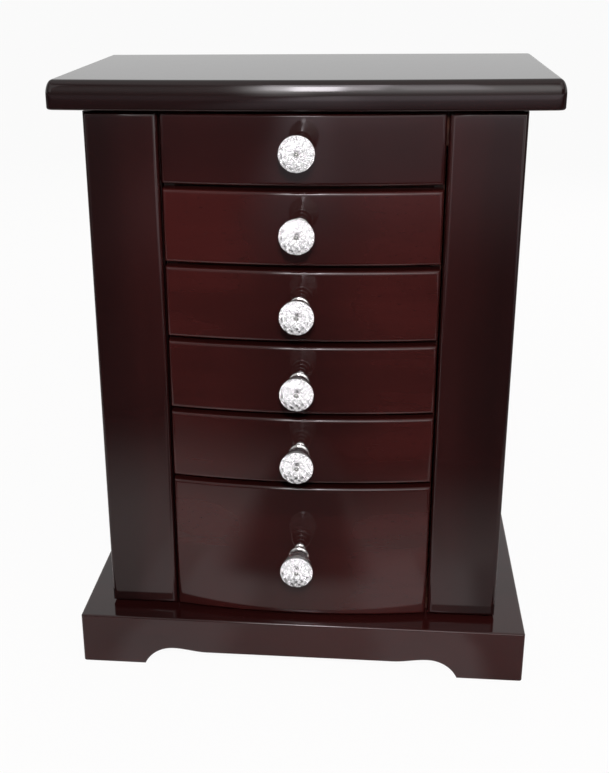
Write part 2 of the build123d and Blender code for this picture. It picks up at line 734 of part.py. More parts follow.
def knob_crystal(knob_z):
    """The clear head, cut in flat facets: a spigot, a flaring body, a narrow girdle and a crown."""
    seat = Plane(origin=(0, BOW_Y, knob_z), z_dir=(0, -1, 0))
    girdle = KNOB_LENGTH - CRYSTAL_CROWN
    with BuildPart() as crystal:
        with BuildSketch(seat.offset(BELL_LENGTH)):
            RegularPolygon(CRYSTAL_NECK, FACETS)
        with BuildSketch(seat.offset(girdle - CRYSTAL_GIRDLE)):
            RegularPolygon(CRYSTAL_RADIUS, FACETS)
        loft(ruled=True)
        with BuildSketch(seat.offset(girdle - CRYSTAL_GIRDLE)):
            RegularPolygon(CRYSTAL_RADIUS, FACETS)
        extrude(amount=CRYSTAL_GIRDLE)
        with BuildSketch(seat.offset(girdle)):
            RegularPolygon(CRYSTAL_RADIUS, FACETS)
        with BuildSketch(seat.offset(KNOB_LENGTH)):
            RegularPolygon(CROWN_FLAT, FACETS)
        loft(ruled=True)
        with BuildSketch(seat.offset(BELL_LENGTH)):
            Circle(SPIGOT_RADIUS)
        extrude(amount=-SPIGOT_LENGTH)
    return crystal


def knob_bell(knob_z):
    """The metal foot, neck and bell that hold the crystal, bored for the screw and the spigot."""
    seat = Plane(origin=(0, BOW_Y, knob_z), z_dir=(0, -1, 0))
    profile = Plane(origin=(0, BOW_Y, knob_z), x_dir=(0, -1, 0), z_dir=(-1, 0, 0))
    neck_end = FOOT_THICK + NECK_LENGTH
    collar = BELL_LENGTH - BELL_COLLAR
    with BuildPart() as bell:
        with BuildSketch(profile):
            with BuildLine():
                Polyline((0, 0), (0, FOOT_RADIUS), (FOOT_THICK, FOOT_RADIUS), (FOOT_THICK, NECK_RADIUS))
                Line((FOOT_THICK, NECK_RADIUS), (neck_end, NECK_RADIUS))
                TangentArc((neck_end, NECK_RADIUS), (collar, BELL_RADIUS), tangent=(1, 0.3))
                Polyline((collar, BELL_RADIUS), (BELL_LENGTH, BELL_RADIUS), (BELL_LENGTH, 0), (0, 0))
            make_face()
        revolve(axis=Axis(profile.origin, profile.x_dir))
        with BuildSketch(seat):
            Circle(SCREW_RADIUS + SCREW_CLEAR)
        extrude(amount=SCREW_BITE, mode=Mode.SUBTRACT)
        with BuildSketch(seat.offset(BELL_LENGTH - SPIGOT_LENGTH)):
            Circle(SPIGOT_RADIUS + SCREW_CLEAR)
        extrude(amount=SPIGOT_LENGTH, mode=Mode.SUBTRACT)
    return bell


def knob_screw(knob_z):
    """The screw that comes through the front from inside the drawer."""
    seat = FRONT_BACK_Y - HEAD_SINK
    start = Plane(origin=(0, seat, knob_z), z_dir=(0, -1, 0))
    with BuildPart() as screw:
        with BuildSketch(start):
            Circle(SCREW_RADIUS)
        extrude(amount=seat - BOW_Y + SCREW_BITE)
        with BuildSketch(start):
            Circle(HEAD_RADIUS)
        extrude(amount=-HEAD_THICK)
    return screw


for number in range(1, DRAWERS + 1):
    front_low, front_high, box_low, box_high = drawer_limits(DRAWERS - number)
    knob_z = (front_low + front_high) / 2 + KNOB_LIFT
    name = f"drawer_{number}"
    save(drawer_front(front_low, front_high, knob_z).part, f"{name}_front")
    group(f"{name}_box", drawer_box(box_low, box_high))
    save(drawer_lining(box_low).part, f"{name}_lining")
    save(knob_crystal(knob_z).part, f"{name}_crystal")
    group(f"{name}_knob_base", [knob_bell(knob_z), knob_screw(knob_z)])
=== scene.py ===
import math

import bmesh
import bpy
from mathutils import Matrix, Vector, noise


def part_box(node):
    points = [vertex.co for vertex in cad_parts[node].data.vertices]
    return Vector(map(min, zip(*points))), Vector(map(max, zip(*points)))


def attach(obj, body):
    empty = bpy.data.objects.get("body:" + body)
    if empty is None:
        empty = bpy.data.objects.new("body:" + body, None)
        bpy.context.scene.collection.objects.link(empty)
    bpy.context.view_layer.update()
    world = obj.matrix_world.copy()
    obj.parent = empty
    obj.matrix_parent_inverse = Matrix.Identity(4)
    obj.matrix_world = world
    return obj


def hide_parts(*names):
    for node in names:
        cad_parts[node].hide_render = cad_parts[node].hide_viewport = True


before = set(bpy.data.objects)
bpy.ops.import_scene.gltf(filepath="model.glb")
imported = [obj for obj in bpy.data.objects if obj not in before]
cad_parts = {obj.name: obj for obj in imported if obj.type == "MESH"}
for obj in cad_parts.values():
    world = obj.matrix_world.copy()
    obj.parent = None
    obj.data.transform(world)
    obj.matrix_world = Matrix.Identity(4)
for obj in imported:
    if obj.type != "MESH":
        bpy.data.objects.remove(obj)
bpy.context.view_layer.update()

# Plinth skirt: four hardwood boards, mitred at the corners and band-sawn below into bracket feet.
# They are glued up first and lacquered as one, so that the mitres don't show as lines.

FOOT_REACH = 0.0405
ARCH_RUN, ARCH_RISE, ARCH_STEPS = 0.0185, 0.012, 12
WAVE_RUN, WAVE_DROP, WAVE_STEPS = 0.022, 0.0022, 10
BOARD_THICK = 0.012
SKIRT_CORNER, CORNER_STEPS = 0.0018, 6
SKIRT_EASE = 0.0008


def linked(name, data):
    """A new object of the scene, with its data."""
    made = bpy.data.objects.new(name, data)
    bpy.context.scene.collection.objects.link(made)
    return made


def new_piece(name, points=(), edges=(), faces=()):
    """The mesh object of a new piece."""
    mesh = bpy.data.meshes.new(name)
    mesh.from_pydata(points, edges, faces)
    return linked(name, mesh)


def smooth(piece, sharp_degrees):
    """Smooth shading, with hard edges where the surface turns sharply."""
    piece.data.polygons.foreach_set("use_smooth", [True] * len(piece.data.polygons))
    piece.data.set_sharp_from_angle(angle=math.radians(sharp_degrees))
    return piece


def shade(piece, sharp_degrees=32):
    """Merged corners and outward faces, then smooth shading."""
    shape = bmesh.new()
    shape.from_mesh(piece.data)
    bmesh.ops.remove_doubles(shape, verts=shape.verts, dist=1e-7)
    bmesh.ops.recalc_face_normals(shape, faces=shape.faces)
    shape.to_mesh(piece.data)
    shape.free()
    return smooth(piece, sharp_degrees)


def walls(count, levels, first=0, joined=False):
    """Four-sided faces between rings of as many points each, numbered from first."""
    faces = []
    for level in range(levels - (not joined)):
        low, high = first + level * count, first + (level + 1) % levels * count
        for i in range(count):
            j = (i + 1) % count
            faces.append((low + i, low + j, high + j, high + i))
    return faces


def strips(first, count):
    """Four-sided faces across an outline, from its near side to its far one."""
    last = first + count - 1
    return [(first + i, first + i + 1, last - 1 - i, last - i) for i in range(count // 2 - 1)]


def skin(name, rings, ends="flat", sharp_degrees=32):
    """One surface over rings of points. Its ends are flat faces, strips, or joined to each other."""
    count = len(rings[0])
    last = (len(rings) - 1) * count
    faces = walls(count, len(rings), joined=ends == "joined")
    if ends == "flat":
        faces += [tuple(range(count)), tuple(range(last, last + count))]
    elif ends == "strips":
        faces += strips(0, count) + strips(last, count)
    return shade(new_piece(name, [point for ring in rings for point in ring], [], faces), sharp_degrees)


def eased_edge(radius, steps, fall=None):
    """Distances inwards and down along an edge that turns from the side to the top."""
    angles = [i * math.pi / (2 * steps) for i in range(steps + 1)]
    return [(radius * (1 - math.cos(angle)), (fall or radius) * (1 - math.sin(angle))) for angle in angles]


def arch_edge(along, half, waved):
    """Height of a skirt board's lower edge at a distance from the board's middle."""
    edge = half - FOOT_REACH
    crest = edge - ARCH_RUN
    radius = (ARCH_RUN**2 + ARCH_RISE**2) / (2 * ARCH_RISE)
    place = abs(along)
    if place >= edge:
        return 0.0
    if place >= crest:
        return ARCH_RISE - radius + math.sqrt(radius**2 - (place - crest) ** 2)
    if not waved:
        return ARCH_RISE
    share = min(1.0, (crest - place) / WAVE_RUN)
    return ARCH_RISE - WAVE_DROP * (1 - math.cos(math.pi * share)) / 2


def skirt_walk(low, high):
    """Points round the plinth, each with its outward direction and its lower edge's height."""
    walk = []
    middle, size = ((low + high) / 2).to_2d(), high - low
    for quarter in range(4):
        turn = quarter * math.pi / 2
        way, side = Vector((math.sin(turn), -math.cos(turn))), Vector((math.cos(turn), math.sin(turn)))
        waved = quarter % 2 == 0
        half, out = (size.x / 2, size.y / 2) if waved else (size.y / 2, size.x / 2)
        edge = half - FOOT_REACH
        stops = [-half + SKIRT_CORNER, -edge - 1e-5]
        for i in range(ARCH_STEPS + 1):
            stops.append(-edge + ARCH_RUN * (1 - math.cos(math.pi * i / (2 * ARCH_STEPS))))
        stops += [-edge + ARCH_RUN + WAVE_RUN * i / WAVE_STEPS for i in range(1, WAVE_STEPS + 1)]
        for stop in stops + [-stop for stop in reversed(stops)]:
            walk.append((middle + way * out + side * stop, way, arch_edge(stop, half, waved)))
        corner = middle + way * (out - SKIRT_CORNER) + side * (half - SKIRT_CORNER)
        for i in range(1, CORNER_STEPS):
            angle = turn + i * math.pi / (2 * CORNER_STEPS)
            bent = Vector((math.sin(angle), -math.cos(angle)))
            walk.append((corner + bent * SKIRT_CORNER, bent, 0.0))
    return walk


def make_skirt():
    low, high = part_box("base_side_aprons")
    walk = skirt_walk(low, high)
    rings = [[(*place, high.z) for place, way, edge in walk]]
    for inset, lift in eased_edge(SKIRT_EASE, 4):
        rings.append([(*(place - way * inset), edge + lift) for place, way, edge in walk])
    inner = []
    for place, way, edge in walk:
        x = max(low.x + BOARD_THICK, min(high.x - BOARD_THICK, place.x))
        y = max(low.y + BOARD_THICK, min(high.y - BOARD_THICK, place.y))
        inner.append((x, y, edge))
    rings += [inner, [(x, y, high.z) for x, y, edge in inner]]
    return skin("plinth_skirt", rings, "joined")


class Link:
    """One output of a tree's nodes, so that masks and sizes are written as plain sums."""

    def __init__(self, nodes, socket):
        self.nodes, self.socket = nodes, socket

    def maths(self, operation, first, second):
        return self.nodes.node("ShaderNodeMath", {"operation": operation}, {0: first, 1: second})

    def __add__(self, other):
        return self.maths("ADD", self, other)

    def __radd__(self, other):
        return self.maths("ADD", other, self)

    def __sub__(self, other):
        return self.maths("SUBTRACT", self, other)

    def __rsub__(self, other):
        return self.maths("SUBTRACT", other, self)

    def __mul__(self, other):
        return self.maths("MULTIPLY", self, other)

    def __rmul__(self, other):
        return self.maths("MULTIPLY", other, self)

    def __abs__(self):
        return self.maths("ABSOLUTE", self, 0.0)


class Nodes:
    """A tree of nodes, made one at a time."""

    family = "ShaderNode"

    def node(self, kind, settings, values, out=0):
        """Adds a node, sets it up, feeds its sockets, and gives one of its outputs."""
        made = self.tree.nodes.new(kind if "Node" in kind else self.family + kind)
        for name, value in settings.items():
            setattr(made, name, value)
        for name, value in values.items():
            for each in value if isinstance(value, list) else [value]:
                if isinstance(each, Link):
                    self.tree.links.new(each.socket, made.inputs[name])
                else:
                    made.inputs[name].default_value = each
        return Link(self, made.outputs[out]) if len(made.outputs) else None


class Finish(Nodes):
    """The nodes of a material or of the world."""

    def __init__(self, name, owner=None):
        self.owner = owner or bpy.data.materials.new(name)
        self.owner.use_nodes = True
        self.tree = self.owner.node_tree
        self.tree.nodes.clear()

    def along(self, axis, space="Object"):
        """How far a point lies along one axis."""
        return self.node("SeparateXYZ", {}, {0: self.node("TexCoord", {}, {}, space)}, axis)

    def noise(self, scale, detail=3.0, rough=0.5, twist=0.0):
        """Noise from 0 to 1 with so many waves to a metre, in each direction or in all."""
        scale = scale if isinstance(scale, tuple) else (scale, scale, scale)
        place = self.node("Mapping", {}, {"Vector": self.node("TexCoord", {}, {}, "Object"), "Scale": scale})
        values = {"Vector": place, "Scale": 1.0, "Detail": detail, "Roughness": rough, "Distortion": twist}
        return self.node("TexNoise", {}, values, "Fac")

    def band(self, value, low, high):
        """0 below low, 1 above high and smooth between."""
        settings = {"interpolation_type": "SMOOTHSTEP"}
        return self.node("MapRange", settings, {"Value": value, "From Min": low, "From Max": high})

    def mix(self, share, first, second):
        """Two colours mixed by a share."""
        colours = [colour if isinstance(colour, Link) else (*colour, 1) for colour in (first, second)]
        return self.node("Mix", {"data_type": "RGBA"}, {0: share, 6: colours[0], 7: colours[1]}, 2)

    def bump(self, height, strength, distance):
        """A normal from a height."""
        return self.node("Bump", {}, {"Height": height, "Strength": strength, "Distance": distance})

    def end(self, **values):
        """Closes the finish with one surface shader."""
        names = {name.replace("_", " "): value for name, value in values.items()}
        self.node("OutputMaterial", {}, {"Surface": self.node("BsdfPrincipled", {}, names)})
        return self.owner


def stretched(along, length, across):
    """Waves to a metre for a grain that runs along one direction."""
    return tuple(1 / length if axis == along else 1 / across for axis in "xyz")


# The dark of the pores, also used as painted shade in some lacquers.
PORE_AND_SHADE_DARK = (0.0070, 0.0022, 0.0022)


def lacquer(name, along, stain, glow, middle_shade=0.0, rim=0.0):
    """Stained mahogany under a thick gloss coat: ribbon figure, fine pores, a faint orange peel.

    Painted shade may darken the middle of the width, by one share, and its outer edges, by the share in rim.
    """
    finish = Finish(name)
    ribbon = finish.noise(stretched(along, 0.34, 0.024), 4, 0.55, 0.6)
    pores = finish.noise(stretched(along, 0.012, 0.0006), 3, 0.6)
    cloud = finish.noise(7, 2)
    wood = finish.mix(finish.band(ribbon, 0.32, 0.68), tuple(0.66 * part for part in stain), stain)
    wood = finish.mix(finish.band(cloud, 0.40, 0.72) * 0.6, wood, glow)
    wood = finish.mix(finish.band(pores, 0.60, 0.72) * 0.3, wood, PORE_AND_SHADE_DARK)
    # Painted shade: darker in the middle of the width and at its outer edges.
    if middle_shade or rim:
        beside = abs(finish.along("X"))
        middle = 1 - finish.band(beside + 0.02 * cloud, 0.012, 0.062)
        shaded_edges = finish.band(beside, 0.082, 0.114)
        wood = finish.mix(middle * middle_shade + shaded_edges * rim, wood, PORE_AND_SHADE_DARK)
    peel = finish.noise(420, 1, 0.4) * 0.5 + finish.noise(55, 1, 0.4)
    return finish.end(
        Base_Color=wood,
        Roughness=0.40 + 0.10 * ribbon,
        Specular_IOR_Level=0.0,
        Coat_Weight=1.0,
        Coat_Roughness=0.09,
        Coat_IOR=1.5,
        Normal=finish.bump(peel, 0.10, 0.0002),
    )


def wear(piece, *finishes):
    """Puts finishes in a piece's or a CAD node's material slots."""
    piece.data.materials.clear()
    for finish in finishes:
        piece.data.materials.append(finish)
    return piece


def fit(piece, body, slot, nodes, *finishes):
    """Fits a piece to its body, hides the CAD nodes that it stands for and puts in its finishes, if it isn't
    made with them. The record's material slot is not used."""
    if nodes:
        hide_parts(*nodes)
    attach(piece, body)
    return wear(piece, *finishes) if finishes else piece


plinth_lacquer = lacquer("plinth_lacquer", "x", (0.026, 0.0052, 0.0050), (0.036, 0.0062, 0.0058))
aprons = ["base_front_apron", "base_back_apron", "base_side_aprons"]
fit(make_skirt(), "cabinet", "lacquer", aprons, plinth_lacquer)

# Plinth deck: one board glued on top of the skirt and flush with it, its upper edge sanded round.
# The body stands on it, and its gloss mirrors the doors and the bottom drawer.

DECK_EASE = 0.0012
SUPPORT = 0.0004
LEAST_CORNER = 0.0003


def corner_rounded(low, high, radius, inset=0.0, steps=6):
    """A rectangle's outline with round corners, moved inwards by an inset."""
    points = []
    reach = max(radius - inset, LEAST_CORNER)
    back = inset + reach
    for quarter, (x, y) in enumerate(((high.x, high.y), (low.x, high.y), (low.x, low.y), (high.x, low.y))):
        centre_x = x - math.copysign(back, x - (low.x + high.x) / 2)
        centre_y = y - math.copysign(back, y - (low.y + high.y) / 2)
        for i in range(steps + 1):
            angle = (quarter + i / steps) * math.pi / 2
            points.append((centre_x + reach * math.cos(angle), centre_y + reach * math.sin(angle)))
    return points


def slab(name, low, high, corner, levels, sharp_degrees=32):
    """A board or a plate with round corners, from the inset at each height."""
    rings = []
    for inset, height in levels:
        rings.append([(*point, height) for point in corner_rounded(low, high, corner, inset)])
    return skin(name, rings, "flat", sharp_degrees)


def make_deck():
    low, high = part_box("base_deck")
    levels = [(0, low.z)] + [(inset, high.z - drop) for inset, drop in eased_edge(DECK_EASE, 5)]
    return slab("plinth_deck", low, high, SKIRT_CORNER, [*levels, (DECK_EASE + SUPPORT, high.z)])


fit(make_deck(), "cabinet", "lacquer", ["base_deck"], plinth_lacquer)

# Glue blocks: four corners of plain pine, sawn and left bare inside the skirt. As on the other plain
# boards, only their sharp arrises are taken off.


def solids_of(node):
    """The faces of each solid in a CAD node, given by their corners. One solid's faces follow another's,
    and a solid is whole as soon as each edge so far lies between two faces."""
    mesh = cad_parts[node].data
    spots = [tuple(round(part, 7) for part in vertex.co) for vertex in mesh.vertices]
    solids, faces, loose = [], [], set()
    for face in mesh.polygons:
        corners = [spots[i] for i in face.vertices]
        faces.append(corners)
        loose ^= {frozenset(edge) for edge in zip(corners, corners[1:] + corners[:1])}
        if not loose:
            solids.append(faces)
            faces = []
    return solids


def eased(node, body, slot, finish, radius=0.0004):
    """A copy of a node's boards with their sharp arrises sanded off, board by board."""
    shape = bmesh.new()
    for faces in solids_of(node):
        spots = dict.fromkeys(spot for face in faces for spot in face)
        corners = {spot: shape.verts.new(spot) for spot in spots}
        for face in faces:
            shape.faces.new([corners[spot] for spot in face])
    bmesh.ops.dissolve_limit(shape, angle_limit=math.radians(1), verts=shape.verts, edges=shape.edges)
    steep = math.radians(50)
    sharp = [edge for edge in shape.edges if edge.is_manifold and edge.calc_face_angle() > steep]
    bmesh.ops.bevel(
        shape, geom=sharp, offset=radius, segments=2, profile=0.5, affect="EDGES", clamp_overlap=True
    )
    piece = new_piece(node + "_eased")
    shape.to_mesh(piece.data)
    shape.free()
    return fit(smooth(piece, 25), body, slot, [node], finish)


def bare_pine():
    """Unfinished softwood with pale early wood and darker rings."""
    finish = Finish("bare_pine")
    rings = finish.noise(stretched("z", 0.08, 0.003), 3, 0.5, 0.8)
    fuzz = finish.noise((900, 900, 120), 3, 0.6)
    wood = finish.mix(finish.band(rings, 0.40, 0.62), (0.50, 0.32, 0.16), (0.33, 0.18, 0.08))
    wood = finish.mix(fuzz * 0.4, wood, (0.58, 0.42, 0.25))
    return finish.end(Base_Color=wood, Roughness=0.7 + 0.2 * fuzz, Normal=finish.bump(fuzz, 0.3, 0.0003))


eased("base_corner_blocks", "cabinet", "raw_wood", bare_pine(), 0.0006)

# Case: bottom board, two sides, five thin boards between the drawers, and the back. The inner boards
# are stained to match and get a thin satin coat. The back is lacquered outside like the rest.


def stained(along):
    """Stained inner wood under a thin satin coat, with open pores."""
    finish = Finish("stained_grain_" + along)
    figure = finish.noise(stretched(along, 0.18, 0.010), 4, 0.6, 0.5)
    pores = finish.noise(stretched(along, 0.010, 0.0005), 3, 0.6)
    wood = finish.mix(finish.band(figure, 0.35, 0.65), (0.030, 0.011, 0.008), (0.062, 0.022, 0.015))
    wood = finish.mix(finish.band(pores, 0.56, 0.70) * 0.6, wood, (0.015, 0.006, 0.005))
    rough = 0.42 + 0.14 * figure
    return finish.end(Base_Color=wood, Roughness=rough, Normal=finish.bump(pores, 0.15, 0.0002))


stained_x, stained_y, stained_z = (stained(along) for along in "xyz")
eased("bottom_board", "cabinet", "inner_wood", stained_x)
eased("case_sides", "cabinet", "inner_wood", stained_z)
eased("drawer_dividers", "cabinet", "inner_wood", stained_x)
upright_stains = (0.0215, 0.0050, 0.0048), (0.0310, 0.0060, 0.0057)
# Painted shade on the uprights: darker towards their outer edges.
upright_lacquer = lacquer("upright_lacquer", "z", *upright_stains, rim=0.7)
eased("back_panel", "cabinet", "lacquer", upright_lacquer, 0.0008)

# Catches: disc magnets pressed into the case's front edges, nickel plated. They hold the steel strikes
# on the doors.


def polished_metal(name, colour, smoothest, roughest):
    """Plated metal with faint handling marks."""
    finish = Finish(name)
    marks = finish.noise(260, 4, 0.6, 0.4)
    tone = finish.mix(marks * 0.5, colour, tuple(0.82 * part for part in colour))
    rough = smoothest + (roughest - smoothest) * finish.band(finish.noise(60, 2), 0.35, 0.75)
    return finish.end(Base_Color=tone, Metallic=1.0, Roughness=rough, Normal=finish.bump(marks, 0.04, 0.0001))


plated_steel = polished_metal("plated_steel", (0.56, 0.56, 0.58), 0.18, 0.34)
wear(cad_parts["catch_magnets"], plated_steel)

# Tray: a shallow box let in under the lid, with two partitions glued in. Floor, walls and partitions
# are stained.

eased("lid_tray", "cabinet", "inner_wood", stained_x, 0.0006)

# Tray lining: thin velvet pads glued to the three floors, and eight stuffed velvet rolls side by side
# in the middle for rings to be pushed between. Each roll is a sewn tube, filled and closed at its ends.

PAD_CELL, PAD_EASE, PAD_SWELL, PAD_RISE = 0.004, 0.0005, 0.0003, 0.006
FLOOR_PAD, PAD_GAP = 0.0012, 0.0003
PARTITION, MIDDLE_HALF = 0.004, 0.0413
ROLLS, ROLL_GAP, ROLL_HEIGHT, ROLL_SLACK = 8, 0.0012, 0.014, 0.0007
ROLL_STEPS, ROLL_SIDES, ROLL_END = 56, 24, 0.0045
FILLING_SCALE, FILLING_FRAMES = 20, 14


def velvet():
    """Short cotton pile, wine red, with brushed patches where the pile leans another way."""
    finish = Finish("wine_velvet")
    pile = finish.noise(2600, 2, 0.6)
    brushed = finish.noise((70, 34, 70), 3, 0.5, 0.8)
    cloth = finish.mix(finish.band(brushed, 0.35, 0.70), (0.150, 0.012, 0.022), (0.240, 0.024, 0.040))
    return finish.end(
        Base_Color=finish.mix(pile * 0.35, cloth, (0.080, 0.005, 0.010)),
        Roughness=0.85 + 0.1 * pile,
        Specular_IOR_Level=0.15,
        Sheen_Weight=0.6,
        Sheen_Roughness=0.35,
        Sheen_Tint=(0.95, 0.45, 0.50, 1),
        Normal=finish.bump(pile, 0.5, 0.0004),
    )


def make_mat(name, body, low, high, node):
    """A thin pad with a soft edge, and a top that lies a little unevenly on its glue."""
    columns, rows = round((high.x - low.x) / PAD_CELL), round((high.y - low.y) / PAD_CELL)
    across = [i / columns for i in range(columns + 1)]
    along = [i / rows for i in range(rows + 1)]
    stops = [(u, 0.0) for u in across] + [(1.0, v) for v in along[1:]]
    stops += [(u, 1.0) for u in reversed(across[:-1])] + [(0.0, v) for v in reversed(along[1:-1])]
    rings = []
    for inset, drop in eased_edge(PAD_EASE, 4):
        wide, deep = high.x - low.x - 2 * inset, high.y - low.y - 2 * inset
        rings.append([(low.x + inset + wide * u, low.y + inset + deep * v, high.z - drop) for u, v in stops])
    rings.insert(0, [(x, y, low.z) for x, y, z in rings[0]])
    count = len(stops)
    points = [point for ring in rings for point in ring]
    faces = [tuple(range(count)), *walls(count, len(rings))]
    inner = {stop: len(points) - count + i for i, stop in enumerate(stops)}
    for u in across:
        for v in along:
            if (u, v) not in inner:
                inner[u, v] = len(points)
                x, y = low.x + PAD_EASE + wide * u, low.y + PAD_EASE + deep * v
                rim = min(u * wide, (1 - u) * wide, v * deep, (1 - v) * deep)
                lie = noise.noise((x * 60, y * 60, low.z * 40)) + 0.4 * noise.noise((x * 210, y * 210, 3.0))
                points.append((x, y, high.z + PAD_SWELL * min(1.0, rim / PAD_RISE) * (0.6 + lie)))
    for a, b in zip(across, across[1:]):
        faces += [(inner[a, c], inner[b, c], inner[b, d], inner[a, d]) for c, d in zip(along, along[1:])]
    mat = shade(new_piece(name, points, [], faces), 60)
    fit(mat, body, "velvet", [node], wine_velvet)
    return mat


def filled(piece, pressure, slack):
    """Blows a sewn shape up with the cloth solver, at a size that it handles well, and lets no point
    move further than the cloth's slack."""
    pattern = [vertex.co.copy() for vertex in piece.data.vertices]
    for vertex in piece.data.vertices:
        vertex.co *= FILLING_SCALE
    cloth = piece.modifiers.new("filling", "CLOTH")
    cloth.settings.use_pressure = True
    cloth.settings.uniform_pressure_force = pressure
    cloth.settings.effector_weights.gravity = 0
    cloth.point_cache.frame_end = FILLING_FRAMES
    for step in range(1, FILLING_FRAMES + 1):
        bpy.context.scene.frame_set(step)
    swollen = piece.evaluated_get(bpy.context.evaluated_depsgraph_get())
    places = [vertex.co / FILLING_SCALE for vertex in swollen.data.vertices]
    piece.modifiers.remove(cloth)
    bpy.context.scene.frame_set(1)
    for vertex, start, place in zip(piece.data.vertices, pattern, places):
        move = place - start
        if move.length > slack:
            move *= slack / move.length
        vertex.co = start + move
    return piece


def make_rolls(low, high):
    """Eight tubes with a rounded top and a flattened foot, drawn in at their sewn ends."""
    pitch = (high.x - low.x + ROLL_GAP) / ROLLS
    half = (pitch - ROLL_GAP) / 2 - ROLL_SLACK * 0.8
    middle, rise = low.z + ROLL_HEIGHT / 2, ROLL_HEIGHT / 2 - ROLL_SLACK
    points, faces = [], []
    for roll in range(ROLLS):
        centre = low.x + roll * pitch + (pitch - ROLL_GAP) / 2
        first = len(points)
        for i in range(ROLL_STEPS + 1):
            share = i / ROLL_STEPS
            rim = min(share, 1 - share) * (high.y - low.y)
            close = math.sqrt(max(0.0, 1 - (1 - min(1.0, rim / ROLL_END)) ** 2))
            tuck = 0.12 + 0.88 * close
            y = low.y + ROLL_SLACK + (high.y - low.y - 2 * ROLL_SLACK) * share
            for k in range(ROLL_SIDES):
                angle = 2 * math.pi * k / ROLL_SIDES
                cosine, sine = math.cos(angle), math.sin(angle)
                wave = 1 + 0.05 * (1 - close) * math.cos(8 * angle)
                wave += 0.035 * noise.noise((roll * 7.0, y * 90, 2.2 * cosine))
                x = centre + half * tuck * wave * math.copysign(abs(cosine) ** 0.8, cosine)
                flat = math.copysign(abs(sine) ** (0.9 if sine > 0 else 0.45), sine)
                points.append((x, y, middle + rise * tuck * flat * (wave if sine > 0 else 1)))
        faces += walls(ROLL_SIDES, ROLL_STEPS + 1, first)
        faces += strips(first, ROLL_SIDES) + strips(first + ROLL_STEPS * ROLL_SIDES, ROLL_SIDES)
    rolls = filled(shade(new_piece("ring_rolls", points, [], faces), 180), 3.0, ROLL_SLACK)
    finer = rolls.modifiers.new("finer", "SUBSURF")
    finer.levels = finer.render_levels = 1
    fit(rolls, "cabinet", "velvet", ["tray_lining"], wine_velvet)
    return rolls


wine_velvet = velvet()
lining_low, lining_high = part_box("tray_lining")
pad_top = lining_low.z + FLOOR_PAD
side_start = MIDDLE_HALF + PARTITION + 2 * PAD_GAP
pad_edges = {
    "tray_pad_left": (lining_low.x, -side_start),
    "tray_pad_middle": (-MIDDLE_HALF, MIDDLE_HALF),
    "tray_pad_right": (side_start, lining_high.x),
}
for name, (start, end) in pad_edges.items():
    ends = Vector((start, lining_low.y, lining_low.z)), Vector((end, lining_high.y, pad_top))
    make_mat(name, "cabinet", *ends, "tray_lining")
make_rolls(Vector((-MIDDLE_HALF, lining_low.y, pad_top)), Vector((MIDDLE_HALF, lining_high.y, lining_high.z)))

# Hinges: small brass butt hinges, three knuckles each, pinned. The leaves are let into the boards, and
# two countersunk screws hold each leaf.

LEAF_SCREW, SCREW_SINK, SCREW_SPREAD = 0.0013, 0.00015, 0.0085
LEAF_SPLIT, LEAF_FLAT = 0.0001, 0.0075
HINGE_HALF, KNUCKLE = 0.0135, 0.0018

brass = polished_metal("satin_brass", (0.60, 0.42, 0.17), 0.24, 0.42)
for node in ("hinge_case_leaves", "hinge_pins", "lid_hinge_leaves"):
    wear(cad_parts[node], brass)


def applied(piece, modifier):
    """Keeps what a modifier makes of a piece as its plain mesh."""
    depsgraph = bpy.context.evaluated_depsgraph_get()
    made = bpy.data.meshes.new_from_object(piece.evaluated_get(depsgraph), depsgraph=depsgraph)
    piece.modifiers.remove(modifier)
    seed, piece.data = piece.data, made
    bpy.data.meshes.remove(seed)
    made.name = piece.name
    return piece


class Pattern(Nodes):
    """A tree of Geometry Nodes with named inputs, which is grown once and then kept as plain mesh."""

    family = "GeometryNode"

    def __init__(self, name, **sizes):
        self.tree = bpy.data.node_groups.new(name, "GeometryNodeTree")
        sockets = self.tree.interface
        sockets.new_socket("Geometry", in_out="INPUT", socket_type="NodeSocketGeometry")
        sockets.new_socket("Geometry", in_out="OUTPUT", socket_type="NodeSocketGeometry")
        kinds = {float: "NodeSocketFloat", int: "NodeSocketInt", tuple: "NodeSocketVector"}
        for label, value in sizes.items():
            made = sockets.new_socket(label, in_out="INPUT", socket_type=kinds[type(value)])
            made.default_value = value
        sockets.new_socket("finish", in_out="INPUT", socket_type="NodeSocketMaterial")
        outputs = self.tree.nodes.new("NodeGroupInput").outputs
        self.given = {socket.name: Link(self, socket) for socket in outputs if socket.name}

    def end(self, points, instance, rotation, *others, **chosen):
        """Closes the pattern: one shape on each point, joined to any others, in one finish."""
        values = {"Points": points, "Instance": instance, **chosen}
        if rotation:
            values["Rotation"] = rotation
        placed = self.node("InstanceOnPoints", {}, values)
        if others:
            placed = self.node("JoinGeometry", {}, {0: [*others, placed]})
        real = self.node("RealizeInstances", {}, {0: placed})
        painted = self.node("SetMaterial", {}, {"Geometry": real, "Material": self.given["finish"]})
        self.node("NodeGroupOutput", {}, {0: painted})
        return self

    def grow(self, name, points, edges, finish, sharp_degrees=40, **sizes):
        """Grows the pattern on points and lines, and gives the plain mesh."""
        piece = new_piece(name, points, edges)
        grower = piece.modifiers.new(self.tree.name, "NODES")
        grower.node_group = self.tree
        sizes["finish"] = finish
        for socket in self.tree.interface.items_tree:
            if socket.in_out == "INPUT" and socket.name in sizes:
                grower[socket.identifier] = sizes[socket.name]
        return shade(applied(piece, grower), sharp_degrees)


